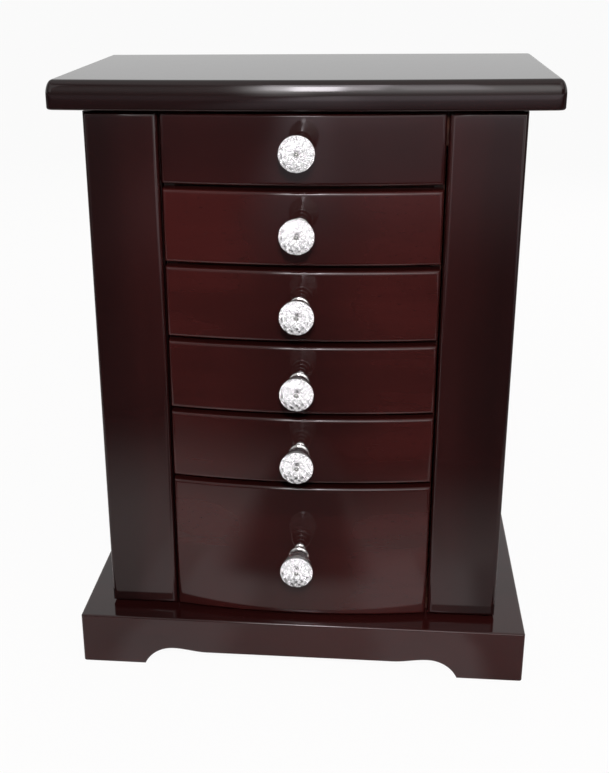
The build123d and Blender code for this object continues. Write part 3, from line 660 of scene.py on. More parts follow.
def screw_pattern():
    """Screw heads with a cross recess on points, facing one way, each turned as it happened to end."""
    facing = (0.0, 0.0, 1.0)
    pattern = Pattern("screw_heads", radius=0.0015, height=0.0004, slot=0.0004, facing=facing, seed=3)
    radius, height = pattern.given["radius"], pattern.given["height"]
    head = pattern.node("MeshCylinder", {}, {"Vertices": 28, "Radius": radius, "Depth": height})
    cut = {"operation": "DIFFERENCE", "solver": "EXACT"}
    for turn, raised in ((0.0, 0.60), (math.pi / 2, 0.57)):
        size = {0: radius * 1.25, 1: pattern.given["slot"], 2: height}
        arm = pattern.node("MeshCube", {}, {"Size": pattern.node("ShaderNodeCombineXYZ", {}, size)})
        place = pattern.node("ShaderNodeCombineXYZ", {}, {2: height * raised})
        turned_arm = {"Geometry": arm, "Translation": place, "Rotation": (0, 0, turn)}
        arm = pattern.node("Transform", {}, turned_arm)
        head = pattern.node("MeshBoolean", cut, {0: head, 1: arm})
    spin = {2: 0.0, 3: math.tau, "Seed": pattern.given["seed"]}
    angle = pattern.node("FunctionNodeRandomValue", {"data_type": "FLOAT"}, spin, 1)
    twist = pattern.node("ShaderNodeCombineXYZ", {}, {2: angle})
    twist = pattern.node("FunctionNodeEulerToRotation", {}, {0: twist})
    facing = {"Vector": pattern.given["facing"]}
    way = pattern.node("FunctionNodeAlignRotationToVector", {"axis": "Z"}, facing)
    way = pattern.node("FunctionNodeRotateRotation", {"rotation_space": "LOCAL"}, {0: way, 1: twist})
    return pattern.end(pattern.given["Geometry"], head, way)


def leaf_screws(name, body, centres, across, facing):
    """Two flush screws in each leaf, on both sides of its middle knuckle."""
    sink = facing * -SCREW_SINK
    points = [centre + across * step + sink for centre in centres for step in (-SCREW_SPREAD, SCREW_SPREAD)]
    heads = screws.grow(name, points, [], brass, radius=LEAF_SCREW, facing=tuple(facing))
    fit(heads, body, "hinge_brass", [])


screws = screw_pattern()
door_low, door_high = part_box("right_door_hinge_leaves")
lid_low, lid_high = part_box("lid_hinge_leaves")
lid_x = lid_high.x - HINGE_HALF
lid_spots = [Vector((x, lid_low.y + LEAF_FLAT / 2, lid_low.z + KNUCKLE)) for x in (-lid_x, lid_x)]
right, up = Vector((1, 0, 0)), Vector((0, 0, 1))
lift, gap = Vector((0, 0, LEAF_SPLIT)), Vector((0, LEAF_SPLIT, 0))
leaf_screws("lid_hinge_screws", "lid", [spot + lift for spot in lid_spots], right, Vector((0, 0, -1)))
leaf_screws("tray_hinge_screws", "cabinet", [spot - lift for spot in lid_spots], right, up)
for side, name in ((-1, "left"), (1, "right")):
    x, y = side * (door_low.x + LEAF_FLAT / 2), door_low.y + KNUCKLE
    spots = [Vector((x, y, z)) for z in (door_low.z + HINGE_HALF, door_high.z - HINGE_HALF)]
    on_door, on_case = [spot - gap for spot in spots], [spot + gap for spot in spots]
    leaf_screws(name + "_door_hinge_screws", name + "_door", on_door, up, Vector((0, 1, 0)))
    leaf_screws(name + "_case_hinge_screws", "cabinet", on_case, up, Vector((0, -1, 0)))

# Lid: one thick bow-front slab, its upper edge turned well round and its lower edge less. The mirror
# and the hinge leaves are let into its underside.

LID_CORNER, LID_BOW, LID_COLUMNS = 0.0045, 0.006, 48
LID_TOP_ROUND, LID_TOP_FALL, LID_LOW_ROUND = 0.0044, 0.0085, 0.0012
LEAF_DEEP, KNUCKLE_DEEP, KNUCKLE_REACH = 0.0009, 0.0019, 0.005
CUT_PAST, CUT_LAP = 0.001, 0.00001


def bow_fall(x, half, bow):
    """How far a bowed front falls back, at a distance from its middle."""
    if not bow:
        return 0.0
    radius = (half**2 + bow**2) / (2 * bow)
    return radius - math.sqrt(radius**2 - x**2)


def lid_outline(low, high, inset):
    """The lid's outline, its front bowed, moved inwards by an inset."""
    corners = corner_rounded(low, high, LID_CORNER, inset, 8)
    start, end = corners[26][0], corners[27][0]
    front = [(start + (end - start) * i / LID_COLUMNS, low.y + inset) for i in range(1, LID_COLUMNS)]
    outline = []
    for x, y in [*corners[:27], *front, *corners[27:]]:
        share = (high.y - y) / (high.y - low.y)
        outline.append((x, y + bow_fall(x, (high.x - low.x) / 2, LID_BOW) * share))
    return outline


def carve(piece, low, high):
    """Cuts a box-shaped recess."""
    cutter = new_piece("cutter")
    shape = bmesh.new()
    bmesh.ops.create_cube(shape, size=1)
    for corner in shape.verts:
        corner.co = [low[i] if corner.co[i] < 0 else high[i] for i in range(3)]
    shape.to_mesh(cutter.data)
    shape.free()
    cut = piece.modifiers.new("cut", "BOOLEAN")
    cut.operation, cut.object, cut.solver = "DIFFERENCE", cutter, "EXACT"
    applied(piece, cut)
    bpy.data.objects.remove(cutter)
    return shade(piece)


def make_lid():
    low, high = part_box("lid_panel")
    levels = [(inset, low.z + rise) for inset, rise in reversed(eased_edge(LID_LOW_ROUND, 5))]
    levels += [(inset, high.z - drop) for inset, drop in eased_edge(LID_TOP_ROUND, 10, LID_TOP_FALL)]
    levels.append((LID_TOP_ROUND + SUPPORT, high.z))
    rings = [[(*point, height) for point in lid_outline(low, high, inset)] for inset, height in levels]
    lid = skin("lid_slab", rings)
    below, reach = low.z - CUT_PAST, high.y - KNUCKLE_REACH
    glass_low, glass_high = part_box("lid_mirror")
    carve(lid, (glass_low.x, glass_low.y, below), glass_high)
    for x in (-lid_x, lid_x):
        start, end = x - HINGE_HALF, x + HINGE_HALF
        carve(lid, (start, lid_low.y, below), (end, reach, low.z + LEAF_DEEP))
        carve(lid, (start, reach - CUT_LAP, below), (end, high.y + CUT_PAST, low.z + KNUCKLE_DEEP))
    return lid


# Painted shade: the lid gets a much darker copy of the lacquer.
lid_shaded_lacquer = lacquer("lid_shaded_lacquer", "x", (0.0090, 0.0030, 0.0030), (0.0130, 0.0036, 0.0035))
fit(make_lid(), "lid", "lacquer", ["lid_panel"], lid_shaded_lacquer)

# Mirror: a plate of silvered glass with a bevel ground all round its lower side. It is glued into the
# recess in the lid's underside, and its corners are only just rounded.

MIRROR_CORNER, MIRROR_BEVEL, MIRROR_BEVEL_FALL = 0.0012, 0.008, 0.0007


def flecked(name, waves, first, second, rough, spread, strength=0.0, **more):
    """A finish of two tones that one noise mixes. The noise roughens it too, and may stand out."""
    finish = Finish(name)
    fleck = finish.noise(waves, 2)
    if strength:
        more["Normal"] = finish.bump(fleck, strength, 0.0001)
    return finish.end(Base_Color=finish.mix(fleck, first, second), Roughness=rough + spread * fleck, **more)


def make_mirror():
    low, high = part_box("lid_mirror")
    levels = [(0, high.z), (0, low.z + MIRROR_BEVEL_FALL)]
    levels += [(MIRROR_BEVEL, low.z), (MIRROR_BEVEL + SUPPORT, low.z)]
    return slab("mirror_plate", low, high, MIRROR_CORNER, levels, 4)


silvered = flecked("silvered_glass", 30, (0.86, 0.89, 0.88), (0.90, 0.92, 0.92), 0.01, 0.02, Metallic=1.0)
fit(make_mirror(), "lid", "mirror_glass", ["lid_mirror"], silvered)

# Necklace doors: an L of a side panel and a front stile, glued. The stile's face edges are rounded over,
# and steel strikes for the magnets are let into its back.

STILE_ROUND = 0.0025


def board_outline(low, high, inset, columns):
    """An upright board's outline, left to right along its lower edge and back along its upper one."""
    wide = high.x - low.x - 2 * inset
    across = [low.x + inset + wide * i / columns for i in range(columns + 1)]
    return [(x, low.z + inset) for x in across] + [(x, high.z - inset) for x in reversed(across)]


def make_face(name, node, rounding, bow=0.0, columns=1):
    """An upright board with a flat or bowed face, square at its back and rounded over in front."""
    low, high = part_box(node)
    half = (high.x - low.x) / 2
    rings = [[(x, high.y, z) for x, z in board_outline(low, high, 0, columns)]]
    for inset, depth in [*eased_edge(rounding, 8), (rounding + SUPPORT, 0.0)]:
        outline = board_outline(low, high, inset, columns)
        rings.append([(x, low.y + bow_fall(x, half, bow) + depth, z) for x, z in outline])
    return skin(name, rings, "strips" if bow else "flat")


for side in ("left", "right"):
    door = side + "_door"
    stile = make_face(side + "_stile", door + "_stile", STILE_ROUND)
    fit(stile, door, "lacquer", [door + "_stile"], upright_lacquer)
    eased(door + "_panel", door, "lacquer", upright_lacquer, 0.0009)
    wear(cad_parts[door + "_strikes"], plated_steel)
    wear(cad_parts[door + "_hinge_leaves"], brass)

# Necklace hooks: nickel-plated cup hooks, a bent wire with a round tip screwed in through a domed plate.
# Four stand in a row near the top of each door.

HOOKS, HOOK_PITCH, HOOK_ROOT = 4, 0.026, 0.0005
HOOK_BEND, HOOK_WIRE, HOOK_STEM, HOOK_BALL = 0.0026, 0.0008, 0.004, 0.001
PLATE_GAP = 0.00002
PLATE_LINE = [  # distance from the panel, radius
    (0.0, 0.0034), (0.0003, 0.0034), (0.0006, 0.0032), (0.0009, 0.0026), (0.0011, 0.0017), (0.0012, 0.0009),
]


def turned(name, seat, line, out=Vector((0, -1, 0)), steps=64):
    """A closed turned piece: distances along its axis from its seat, with the radius at each."""
    side = out.orthogonal().normalized()
    other = out.cross(side)
    angles = [2 * math.pi * i / steps for i in range(steps)]
    spokes = [side * math.cos(angle) + other * math.sin(angle) for angle in angles]
    rings = [[seat + out * distance + spoke * radius for spoke in spokes] for distance, radius in line]
    return skin(name, rings, "flat", 40)


def wire_pattern():
    """Round wire along bent lines, with its corners rounded and a ball at its far end."""
    pattern = Pattern("bent_wire", wire=0.001, bend=0.003, ball=0.001)
    given = pattern.given
    line = pattern.node("MeshToCurve", {}, {0: given["Geometry"]})
    bent = pattern.node("FilletCurve", {"mode": "POLY"}, {"Count": 10, "Curve": line, "Radius": given["bend"]})
    section = pattern.node("CurvePrimitiveCircle", {}, {"Resolution": 14, "Radius": given["wire"]})
    wire = pattern.node("CurveToMesh", {}, {"Curve": bent, "Profile Curve": section, "Fill Caps": True})
    tip = pattern.node("CurveEndpointSelection", {}, {"Start Size": 0, "End Size": 1})
    ball = pattern.node("MeshUVSphere", {}, {"Segments": 16, "Rings": 10, "Radius": given["ball"]})
    return pattern.end(bent, ball, None, wire, Selection=tip)


def make_hooks(side, name):
    low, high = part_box(name + "_door_hooks")
    face = high.x if side > 0 else low.x
    height = high.z - PLATE_LINE[0][1]
    down = face - side * (PLATE_LINE[-1][0] + HOOK_STEM + HOOK_BEND)
    tip = down - side * 2 * HOOK_BEND
    points, edges = [], []
    for i in range(HOOKS):
        y = (low.y + high.y) / 2 + (i - (HOOKS - 1) / 2) * HOOK_PITCH
        edges += [(len(points) + k, len(points) + k + 1) for k in range(4)]
        points += [(face - side * HOOK_ROOT, y, height), (down, y, height), (down, y, height - 2 * HOOK_BEND)]
        points += [(tip, y, height - 2 * HOOK_BEND), (tip, y, height - HOOK_BEND + 0.0002)]
        seat = Vector((face - side * PLATE_GAP, y, height))
        plate = turned(f"{name}_hook_plate_{i + 1}", seat, PLATE_LINE, Vector((-side, 0, 0)), 40)
        fit(plate, name + "_door", "nickel", [], nickel)
    sizes = {"wire": HOOK_WIRE, "bend": HOOK_BEND, "ball": HOOK_BALL}
    wires = hook_wire.grow(name + "_hooks", points, edges, nickel, 50, **sizes)
    fit(wires, name + "_door", "nickel", [name + "_door_hooks"])


nickel = polished_metal("bright_nickel", (0.74, 0.73, 0.71), 0.05, 0.16)
hook_wire = wire_pattern()
make_hooks(-1, "left")
make_hooks(1, "right")

# Door pockets: a velvet pouch lightly padded, gathered under an elastic hem and glued to the panel round
# its sides and foot. One line of pale stitches holds the hem down.

POCKET_CLOTH, POCKET_GAP, POCKET_OPEN = 0.0014, 0.00005, 0.0004
POCKET_COLUMNS, POCKET_ROWS, POCKET_PLEATS, PLEAT_DEPTH = 88, 40, 15, 0.0007
HEM_FROM, HEM_MIDDLE = 0.90, 0.955
STITCH_PITCH, STITCH_LENGTH, STITCH_THICK, STITCH_PROUD = 0.0032, 0.0011, 0.00022, 0.00012


def pocket_reach(u, v, bulge):
    """How far the pocket's outside stands off the panel, across (u) and up (v)."""
    arc = max(0.0, 1 - (2 * u - 1) ** 2) ** 0.75
    foot = math.sqrt(max(0.0, 1 - (1 - min(1.0, v / 0.30)) ** 2))
    drawn = 1 - 0.13 * max(0.0, (v - 0.55) / 0.45) ** 2
    folds = max(0.0, (v - 0.15) / 0.85) ** 1.5
    pleat = PLEAT_DEPTH * folds * math.sin(2 * math.pi * POCKET_PLEATS * u + 1.3 * math.sin(9 * u) + 0.5 * v)
    lump = 0.0006 * noise.noise((u * 5, v * 4, bulge * 100))
    hem = 0.0007 * math.exp(-(((v - HEM_MIDDLE) / 0.022) ** 2))
    hem -= 0.0004 * math.exp(-(((v - HEM_FROM) / 0.012) ** 2))
    whole = (bulge - 0.0016) * arc * foot * drawn
    return max(0.0, whole + min(1.0, 3 * arc * foot) * (pleat + lump + hem))


def pocket_faces(columns, layer):
    """The faces of both layers of cloth, and of the hem's upper edge between them."""
    faces = []
    for start in (0, layer):
        for j in range(POCKET_ROWS):
            for i in range(POCKET_COLUMNS):
                a = start + j * columns + i
                cell = [a, a + 1, a + columns + 1, a + columns]
                if j > 0 or 0 < i < POCKET_COLUMNS - 1:
                    faces.append(cell)
                else:  # the layers meet on two sides here, so both are split from the pouch's corner
                    cell = cell if i == 0 else cell[1:] + cell[:1]
                    faces += [cell[:3], [cell[0], *cell[2:]]]
    top = POCKET_ROWS * columns
    return faces + [(k, k + 1, k + 1 + layer, k + layer) for k in range(top, top + POCKET_COLUMNS)]


def make_pocket(side, name):
    low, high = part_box(name + "_door_pocket")
    face = high.x if side > 0 else low.x
    bulge = high.x - low.x
    columns = POCKET_COLUMNS + 1
    points = []
    for cloth in (0.0, POCKET_CLOTH):
        for j in range(POCKET_ROWS + 1):
            v = j / POCKET_ROWS
            z = low.z + (high.z - low.z - POCKET_OPEN) * v
            for i in range(columns):
                u = i / POCKET_COLUMNS
                out = POCKET_GAP + max(0.0, pocket_reach(u, v, bulge) - cloth)
                points.append((face - side * out, low.y + (high.y - low.y) * u, z))
    pouch = shade(new_piece(name + "_pocket", points, [], pocket_faces(columns, len(points) // 2)), 180)
    filled(pouch, 1.5, 0.0004)
    for vertex in pouch.data.vertices:
        if side * (face - vertex.co.x) < POCKET_GAP:
            vertex.co.x = face - side * POCKET_GAP
    fit(pouch, name + "_door", "velvet", [name + "_door_pocket"], wine_velvet)
    hem = round(HEM_FROM * POCKET_ROWS) * columns
    seam = [Vector(points[hem + i]) - Vector((side * STITCH_PROUD, 0, 0)) for i in range(3, columns - 3)]
    edges = [(i, i + 1) for i in range(len(seam) - 1)]
    sizes = {"pitch": STITCH_PITCH, "length": STITCH_LENGTH, "thick": STITCH_THICK}
    row = stitches.grow(name + "_pocket_stitches", seam, edges, thread, 60, **sizes)
    fit(row, name + "_door", "velvet", [])


def stitch_pattern():
    """Short rounded stitches, evenly spaced along a line and lying along it."""
    pattern = Pattern("stitches", pitch=0.003, length=0.001, thick=0.0002)
    given = pattern.given
    line = pattern.node("MeshToCurve", {}, {0: given["Geometry"]})
    spaced = pattern.node("ResampleCurve", {"mode": "LENGTH"}, {"Curve": line, "Length": given["pitch"]})
    bead = pattern.node("MeshUVSphere", {}, {"Segments": 6, "Rings": 5, "Radius": 1.0})
    sizes = {0: given["thick"], 1: given["thick"], 2: given["length"]}
    size = pattern.node("ShaderNodeCombineXYZ", {}, sizes)
    stitch = pattern.node("Transform", {}, {"Geometry": bead, "Scale": size})
    tangent = {"Vector": pattern.node("InputTangent", {}, {})}
    way = pattern.node("FunctionNodeAlignRotationToVector", {"axis": "Z"}, tangent)
    return pattern.end(spaced, stitch, way)


thread = flecked("rose_thread", 4000, (0.34, 0.09, 0.11), (0.52, 0.20, 0.22), 0.7, 0.2, 0.4)
stitches = stitch_pattern()
make_pocket(-1, "left")
make_pocket(1, "right")

# Drawers: boxes of plain boards, each with a velvet mat. The fronts are cut from a thick board to the
# same bow, and their four face edges are rounded over.

DRAWERS = [f"drawer_{number}" for number in range(1, 7)]
FRONT_ROUND, FRONT_BOW, FRONT_COLUMNS = 0.002, 0.0068, 64

# Painted shade on the drawer fronts: darker in the middle of their width.
front_lacquer = lacquer("front_lacquer", "x", (0.035, 0.0064, 0.0058), (0.054, 0.0082, 0.0074), 0.45)
# Painted shade: the top drawer's front gets a darker copy of the front lacquer.
top_shaded_colours = (0.0195, 0.0044, 0.0042), (0.030, 0.0056, 0.0054)
top_front_shaded_lacquer = lacquer("top_front_shaded_lacquer", "x", *top_shaded_colours, 0.1)
for drawer in DRAWERS:
    front = make_face(drawer + "_face", drawer + "_front", FRONT_ROUND, FRONT_BOW, FRONT_COLUMNS)
    finish = top_front_shaded_lacquer if drawer == DRAWERS[0] else front_lacquer
    fit(front, drawer, "lacquer", [drawer + "_front"], finish)
    eased(drawer + "_box", drawer, "inner_wood", stained_y)
    make_mat(drawer + "_mat", drawer, *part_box(drawer + "_lining"), drawer + "_lining")

# Knobs: a clear acrylic head, moulded in facets like a brilliant, on a turned and nickel-plated bell.
# A machine screw comes through the drawer's front from inside and pulls the two against the wood.

HEAD_FACETS, HEAD_RADIUS, HEAD_TABLE, HEAD_STAR = 24, 0.0098, 0.0032, 0.07
HEAD_NECK, HEAD_GIRDLE, HEAD_CROWN = 0.0056, 0.0016, 0.0026
BELL_LENGTH = 0.0115
BELL_LINE = [  # distance from the wood, radius: a foot, a neck and three rings, each wider than the last
    (0.0000, 0.0032), (0.0005, 0.0033), (0.0010, 0.0031), (0.0013, 0.0026), (0.0016, 0.0022),
    (0.0022, 0.0020), (0.0030, 0.0020), (0.0034, 0.0024), (0.0038, 0.0031), (0.0042, 0.0036),
    (0.0046, 0.0037), (0.0050, 0.0036), (0.0054, 0.0033), (0.0057, 0.0031), (0.0060, 0.0032),
    (0.0064, 0.0038), (0.0068, 0.0044), (0.0072, 0.0048), (0.0076, 0.0049), (0.0080, 0.0048),
    (0.0084, 0.0045), (0.0087, 0.0042), (0.0090, 0.0043), (0.0094, 0.0050), (0.0098, 0.0057),
    (0.0102, 0.0061), (0.0106, 0.0062), (0.0110, 0.0061), (0.0113, 0.0058), (0.0115, 0.0054),
]
SCREW_LINE = [  # distance from the pan head's inside end, radius
    (0.0, 0.0012), (0.0001, 0.0021), (0.0004, 0.0029), (0.0009, 0.0033),
    (0.0013, 0.0034), (0.0020, 0.0034), (0.0020, 0.0015),
]
CUP_SET_BACK = HEAD_CROWN + 0.2 * HEAD_GIRDLE
CUP_RADIUS, CUP_DEPTH, CUP_LEVELS = 0.0095, 0.0092, 9
CUP_RIPPLE, CUP_TIP, CUP_WALL = 0.0002, 0.0003, 0.0001
BACKING_GAP, BACKING_TIP = 0.0001, 0.0006
EYELET_DEPTH, EYELET_RADIUS, EYELET_WIRE, EYELET_SKIRT, EYELET_STEPS = 0.0016, 0.0012, 0.0003, 0.0006, 8
EYELET_DISH = [(EYELET_SKIRT, 0.0009), (0.0004, 0.0007), (0.00025, 0.0004), (0.0002, 0.0001)]
SCREW_REACH, SHAFT_RADIUS, CROSS_LIFT = 0.0001, 0.0015, 0.00001
CROSS = {"radius": 0.0012, "height": 0.0003, "slot": 0.0005, "facing": (0.0, 1.0, 0.0)}


def foil():
    """Bright crinkled foil, which throws the light forward again."""
    finish = Finish("silver_foil")
    crinkle = finish.noise(1500, 2)
    tone = finish.mix(finish.band(crinkle, 0.36, 0.52), (0.62, 0.61, 0.62), (0.97, 0.96, 0.96))
    normal = finish.bump(crinkle, 0.45, 0.0002)
    return finish.end(Base_Color=tone, Metallic=1.0, Roughness=0.06 + 0.10 * crinkle, Normal=normal)


def knob_place(drawer):
    """Where a knob's axis meets the wood, and how far its head reaches from there."""
    low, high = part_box(drawer + "_crystal")
    seat = Vector(((low.x + high.x) / 2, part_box(drawer + "_front")[0].y, (low.z + high.z) / 2))
    return seat, seat.y - low.y


def corner_ring(seat, distance, radius, half, star=0.0, ripple=0.0):
    """Corners round the knob's axis, turned by half a facet or not. Every second one may stand further
    out, by a share of the radius, and further back, by a ripple."""
    ring = []
    for i in range(HEAD_FACETS):
        angle = 2 * math.pi * (i + half / 2) / HEAD_FACETS
        reach = radius * (1 + star * (-1) ** i)
        y = seat.y - distance + ripple * (-1) ** i
        ring.append((seat.x + reach * math.cos(angle), y, seat.z + reach * math.sin(angle)))
    return ring


def facets(halves, joined=False):
    """Flat faces between such rings: triangles where one is turned against the last, else four-sided."""
    faces = []
    for level in range(len(halves) - (not joined)):
        over = (level + 1) % len(halves)
        for i in range(HEAD_FACETS):
            j = (i + 1) % HEAD_FACETS
            a, b = level * HEAD_FACETS + i, level * HEAD_FACETS + j
            c, d = over * HEAD_FACETS + j, over * HEAD_FACETS + i
            if halves[level] == halves[over]:
                faces.append((a, b, c, d))
            elif halves[level]:
                faces += [(a, b, c), (a, c, d)]
            else:
                faces += [(a, b, d), (b, c, d)]
    return faces


def make_head(drawer):
    """The acrylic head: rings of corners, each turned half a facet from the last."""
    seat, front = knob_place(drawer)
    girdle = front - HEAD_CROWN
    back = girdle - HEAD_GIRDLE
    line = [
        (BELL_LENGTH, HEAD_NECK - 0.0003, 0, 0),
        (BELL_LENGTH + 0.0030, HEAD_NECK + 0.0006, 1, 0),
        (BELL_LENGTH + 0.55 * (back - BELL_LENGTH), HEAD_NECK + 0.0024, 0, 0),
        (back, HEAD_RADIUS - 0.0001, 1, 0),
        (girdle, HEAD_RADIUS - 0.0001, 0, 0),
        (girdle + 0.48 * HEAD_CROWN, HEAD_RADIUS * 0.84, 1, HEAD_STAR),
        (girdle + 0.85 * HEAD_CROWN, HEAD_RADIUS * 0.56, 0, HEAD_STAR),
        (front - 0.0002, HEAD_TABLE, 1, 0),
    ]
    points = [point for stop in line for point in corner_ring(seat, *stop)]
    faces = [tuple(range(HEAD_FACETS)), tuple(range(len(points) - HEAD_FACETS, len(points)))]
    faces += facets([half for distance, radius, half, star in line])
    head = shade(new_piece(drawer + "_head", points, [], faces), 3)
    fit(head, drawer, "crystal", [drawer + "_crystal"], acrylic)


def make_foil_cup(drawer):
    """The silvered cup cast inside the head: a thin cone cut in facets, open to the front."""
    seat, front = knob_place(drawer)
    rim = front - CUP_SET_BACK
    line = []
    for level in range(CUP_LEVELS):
        share = level / (CUP_LEVELS - 1)
        line.append((rim - CUP_DEPTH * share, CUP_RADIUS - (CUP_RADIUS - CUP_TIP) * share, level % 2))
    points = []
    for wall, rings in ((0.0, line), (CUP_WALL, line[::-1])):
        for distance, radius, half in rings:
            ripple = CUP_RIPPLE if distance < rim else 0.0
            points += corner_ring(seat, distance - wall, radius + wall / 2, half, 0.0, ripple)
    faces = facets([half for distance, radius, half in line + line[::-1]], True)
    cup = shade(new_piece(drawer + "_foil_cup", points, [], faces), 3)
    fit(cup, drawer, "crystal", [], silver_foil)


def make_turnings(drawer):
    """The paint that backs the foil, a thin plain cone close behind it. The eyelet, the rolled end of the
    core, cast in behind the head's flat table. The bell, and the machine screw with its pan head."""
    seat, front = knob_place(drawer)
    rim = front - CUP_SET_BACK - CUP_WALL - CUP_RIPPLE - BACKING_GAP
    tip = rim - CUP_DEPTH
    line = [(tip, BACKING_TIP), (rim, CUP_RADIUS), (rim - CUP_WALL, CUP_RADIUS), (tip - CUP_WALL, BACKING_TIP)]
    fit(turned(drawer + "_foil_backing", seat, line, steps=48), drawer, "crystal", [], foil_backing)
    rolled = front - EYELET_DEPTH
    line = [(rolled - EYELET_SKIRT, EYELET_RADIUS + EYELET_WIRE)]
    for i in range(EYELET_STEPS + 1):
        angle = math.pi * i / EYELET_STEPS
        height = rolled - EYELET_SKIRT / 2 + EYELET_WIRE * 0.7 * math.sin(angle)
        line.append((height, EYELET_RADIUS + EYELET_WIRE * math.cos(angle)))
    line += [(rolled - below, radius) for below, radius in EYELET_DISH]
    fit(turned(drawer + "_eyelet", seat, line, steps=32), drawer, "nickel", [], nickel)
    bell = turned(drawer + "_bell", seat, BELL_LINE)
    fit(bell, drawer, "nickel", [drawer + "_knob_base"], bell_nickel)
    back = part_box(drawer + "_knob_base")[1].y - seat.y
    line = [(distance - back, radius) for distance, radius in SCREW_LINE] + [(-SCREW_REACH, SHAFT_RADIUS)]
    fit(turned(drawer + "_screw", seat, line, steps=40), drawer, "nickel", [], nickel)
    spot = (seat.x, seat.y + back + CROSS_LIFT, seat.z)
    fit(screws.grow(drawer + "_screw_cross", [spot], [], nickel, **CROSS), drawer, "nickel", [])


bell_nickel = polished_metal("bell_nickel", (0.90, 0.88, 0.86), 0.08, 0.24)
glass_like = {"IOR": 1.49, "Transmission_Weight": 1.0}
acrylic = flecked("clear_acrylic", 300, (0.97, 0.98, 0.99), (0.99, 0.99, 1.0), 0.01, 0.02, **glass_like)
silver_foil = foil()
foil_backing = flecked("silver_paint", 2500, (0.58, 0.57, 0.56), (0.74, 0.73, 0.72), 0.4, 0.2, 0.2)
for drawer in DRAWERS:
    make_head(drawer)
    make_foil_cup(drawer)
    make_turnings(drawer)

# Studio: a pale floor that runs out of sight, a white surround, and soft boxes. What the gloss mirrors
# is dimmer than what the camera sees, and it gives the lacquer its haze.

FLOOR_SPAN, FLOOR_DROP = 30.0, 0.0002
CAMERA_PLACE = Vector((0.04505, -0.70625, 0.4297))
CAMERA_YAW, CAMERA_PITCH, CAMERA_ROLL = math.radians(6.15), math.radians(21.43), math.radians(-0.73)
FOCAL_PIXELS, CENTRE_PIXEL, PHOTO_PIXELS = 1169.8, (259.5, 408.1), (609, 773)
SENSOR = 36
LAMPS = {  # place, target, size, watts, the rays that see it, colour
    "near_lens": ((0.05, -0.74, 0.54), (0, -0.05, 0.2), (0.07, 0.05), 5.2, "matt", (1, 1, 1)),
    "window": ((-0.03, -1.0, 1.02), (0, -0.05, 0.3), (0.26, 0.62), 1.9, "gloss", (1.0, 0.93, 1.0)),
    "window_core": ((-0.04, -1.0, 0.84), (0, -0.05, 0.3), (0.10, 0.42), 2.0, "gloss", (1.0, 0.94, 1.0)),
    "window_edge": ((0.21, -1.0, 1.02), (0, -0.05, 0.3), (0.20, 0.62), 0.6, "gloss", (1.0, 0.93, 1.0)),
    "right_side": ((1.1, -0.7, 1.1), (0, 0, 0.2), (0.9, 0.9), 2.2, "both", (1, 1, 1)),
    "left_side": ((-1.1, -0.8, 0.9), (0, 0, 0.2), (0.9, 0.9), 1.6, "both", (1, 1, 1)),
    "behind": ((0.2, 1.4, 0.9), (0, 0, 0.2), (1.0, 0.8), 9, "matt", (1, 1, 1)),
}


class Backdrop(Finish):
    """The nodes of the floor or the surround, which look different to each kind of ray."""

    def __init__(self, name, owner=None):
        super().__init__(name, owner)
        rays = self.tree.nodes.new("ShaderNodeLightPath").outputs
        self.seen, self.through = Link(self, rays["Is Camera Ray"]), Link(self, rays["Is Transmission Ray"])
        self.mirrored = Link(self, rays["Is Glossy Ray"]) * (1 - self.through)

    def more(self, first, second):
        """The larger of two values."""
        return self.node("Math", {"operation": "MAXIMUM"}, {0: first, 1: second})

    def sparkle(self, space, waves):
        """How bright what the clear knobs show is: patches, so that their facets differ."""
        where = self.node("TexCoord", {}, {}, space)
        patch = self.node("TexNoise", {}, {"Vector": where, "Scale": waves, "Detail": 2.0}, "Fac")
        return 0.72 + 0.36 * self.band(patch, 0.38, 0.50)

    def light(self, colour, strength):
        return self.node("Emission", {}, {"Color": (*colour, 1), "Strength": strength})

    def over(self, share, under, cover):
        """One surface over another, by a share."""
        return self.node("MixShader", {}, {0: share, 1: under, 2: cover})


def make_floor():
    half = FLOOR_SPAN / 2
    corners = [(x * half, y * half, -FLOOR_DROP) for x, y in ((-1, -1), (1, -1), (1, 1), (-1, 1))]
    floor = new_piece("floor", corners, [], [(0, 1, 2, 3)])
    finish = Backdrop("floor_paper")
    paper = finish.node("BsdfDiffuse", {}, {"Color": (0.85, 0.77, 0.76, 1)})
    surface = finish.over(finish.seen * 0.95, paper, finish.light((1, 1, 1), 1.0))
    surface = finish.over(finish.through, surface, finish.light((1, 1, 1), finish.sparkle("Object", 14.0)))
    ahead, across = finish.along("Y"), finish.along("X")
    dark_middle = 1 - finish.band(abs(across + 0.012), 0.045, 0.105)
    dark_middle = dark_middle * (1 - finish.band(ahead, -0.185, -0.150)) * 0.9
    nearer = ahead - 0.03 - 0.09 * finish.band(across, 0.0, 0.07)
    dusk = finish.more(1 - finish.band(nearer, -0.50, -0.24), dark_middle)
    at_foot = finish.band(ahead, -0.23, -0.17)
    dusk = finish.more(dusk, 0.4 * at_foot * finish.band(across, 0.108, 0.125))
    bounce = at_foot * finish.band(abs(across), 0.035, 0.065) * (1 - finish.band(abs(across), 0.108, 0.130))
    lit = finish.light((1.0, 0.96, 0.97), 1.05)
    surface = finish.over(finish.mirrored * bounce * 0.6, surface, lit)
    glow = 0.10 + 0.50 * finish.band(across, -0.50, -0.18) - 0.20 * finish.band(across, -0.05, 0.20)
    hazy = finish.light((1.0, 0.93, 1.0), glow * (1 + 1.8 * finish.band(-1.0 * ahead, 2.4, 3.1)))
    far = finish.band(-1.0 * ahead, 0.9, 2.0)
    distance = finish.over(far, finish.light((0.050, 0.045, 0.048), 1.0), hazy)
    surface = finish.over(finish.mirrored * dusk, surface, distance)
    finish.node("OutputMaterial", {}, {"Surface": surface})
    wear(floor, finish.owner)


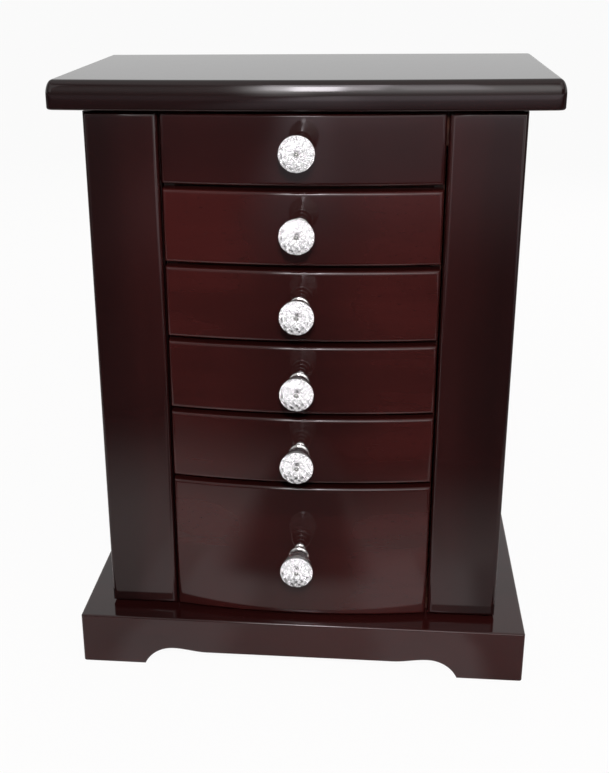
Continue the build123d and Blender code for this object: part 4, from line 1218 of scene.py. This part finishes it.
def make_surround():
    bpy.context.scene.world = bpy.data.worlds.new("surround")
    finish = Backdrop("surround", bpy.context.scene.world)
    across, ahead, above = (finish.along(axis, "Generated") for axis in "XYZ")
    bright = finish.more(finish.band(ahead, -0.25, 0.35), finish.band(above, 0.62, 0.86))
    level = finish.more(finish.more(finish.seen, finish.through * finish.sparkle("Generated", 9.0)), 0.17)
    glow = 0.08 + 1.10 * finish.band(across, -0.17, -0.10) - 0.70 * finish.band(across, -0.09, -0.03)
    glow = glow * (1 - finish.band(ahead, -0.85, -0.60)) * (1 + 4.0 * finish.band(above, 0.02, 0.36))
    level = finish.node("Mix", {}, {0: finish.mirrored, 2: level, 3: 0.08 + 0.64 * bright + glow})
    light = finish.node("Background", {}, {"Color": (1, 1, 1, 1), "Strength": level})
    finish.node("OutputWorld", {}, {"Surface": light})


def make_lamp(name, place, target, size, power, seen_by, colour):
    lamp = bpy.data.lights.new(name, "AREA")
    lamp.shape = "RECTANGLE"
    lamp.size, lamp.size_y = size
    lamp.energy, lamp.color = power, colour
    holder = linked(name, lamp)
    holder.location = place
    holder.rotation_mode = "QUATERNION"
    holder.rotation_quaternion = (Vector(target) - Vector(place)).to_track_quat("-Z", "Y")
    holder.visible_glossy, holder.visible_diffuse = seen_by != "matt", seen_by != "gloss"


def make_camera():
    """The camera. Its principal point is off the picture's middle, so it has a shift."""
    data = bpy.data.cameras.new("view")
    camera = linked("view", data)
    turn = Matrix.Rotation(CAMERA_YAW, 4, "Z") @ Matrix.Rotation(math.pi / 2 - CAMERA_PITCH, 4, "X")
    camera.matrix_world = Matrix.Translation(CAMERA_PLACE) @ turn @ Matrix.Rotation(CAMERA_ROLL, 4, "Z")
    long_side = max(PHOTO_PIXELS)
    data.sensor_width = SENSOR
    data.lens = SENSOR * FOCAL_PIXELS / long_side
    data.shift_x = (PHOTO_PIXELS[0] / 2 - CENTRE_PIXEL[0]) / long_side
    data.shift_y = (CENTRE_PIXEL[1] - PHOTO_PIXELS[1] / 2) / long_side
    data.clip_start, data.clip_end = 0.01, 60
    bpy.context.scene.camera = camera


make_floor()
make_surround()
for name, settings in LAMPS.items():
    make_lamp(name, *settings)
make_camera()
bpy.context.scene.view_settings.view_transform = "Standard"
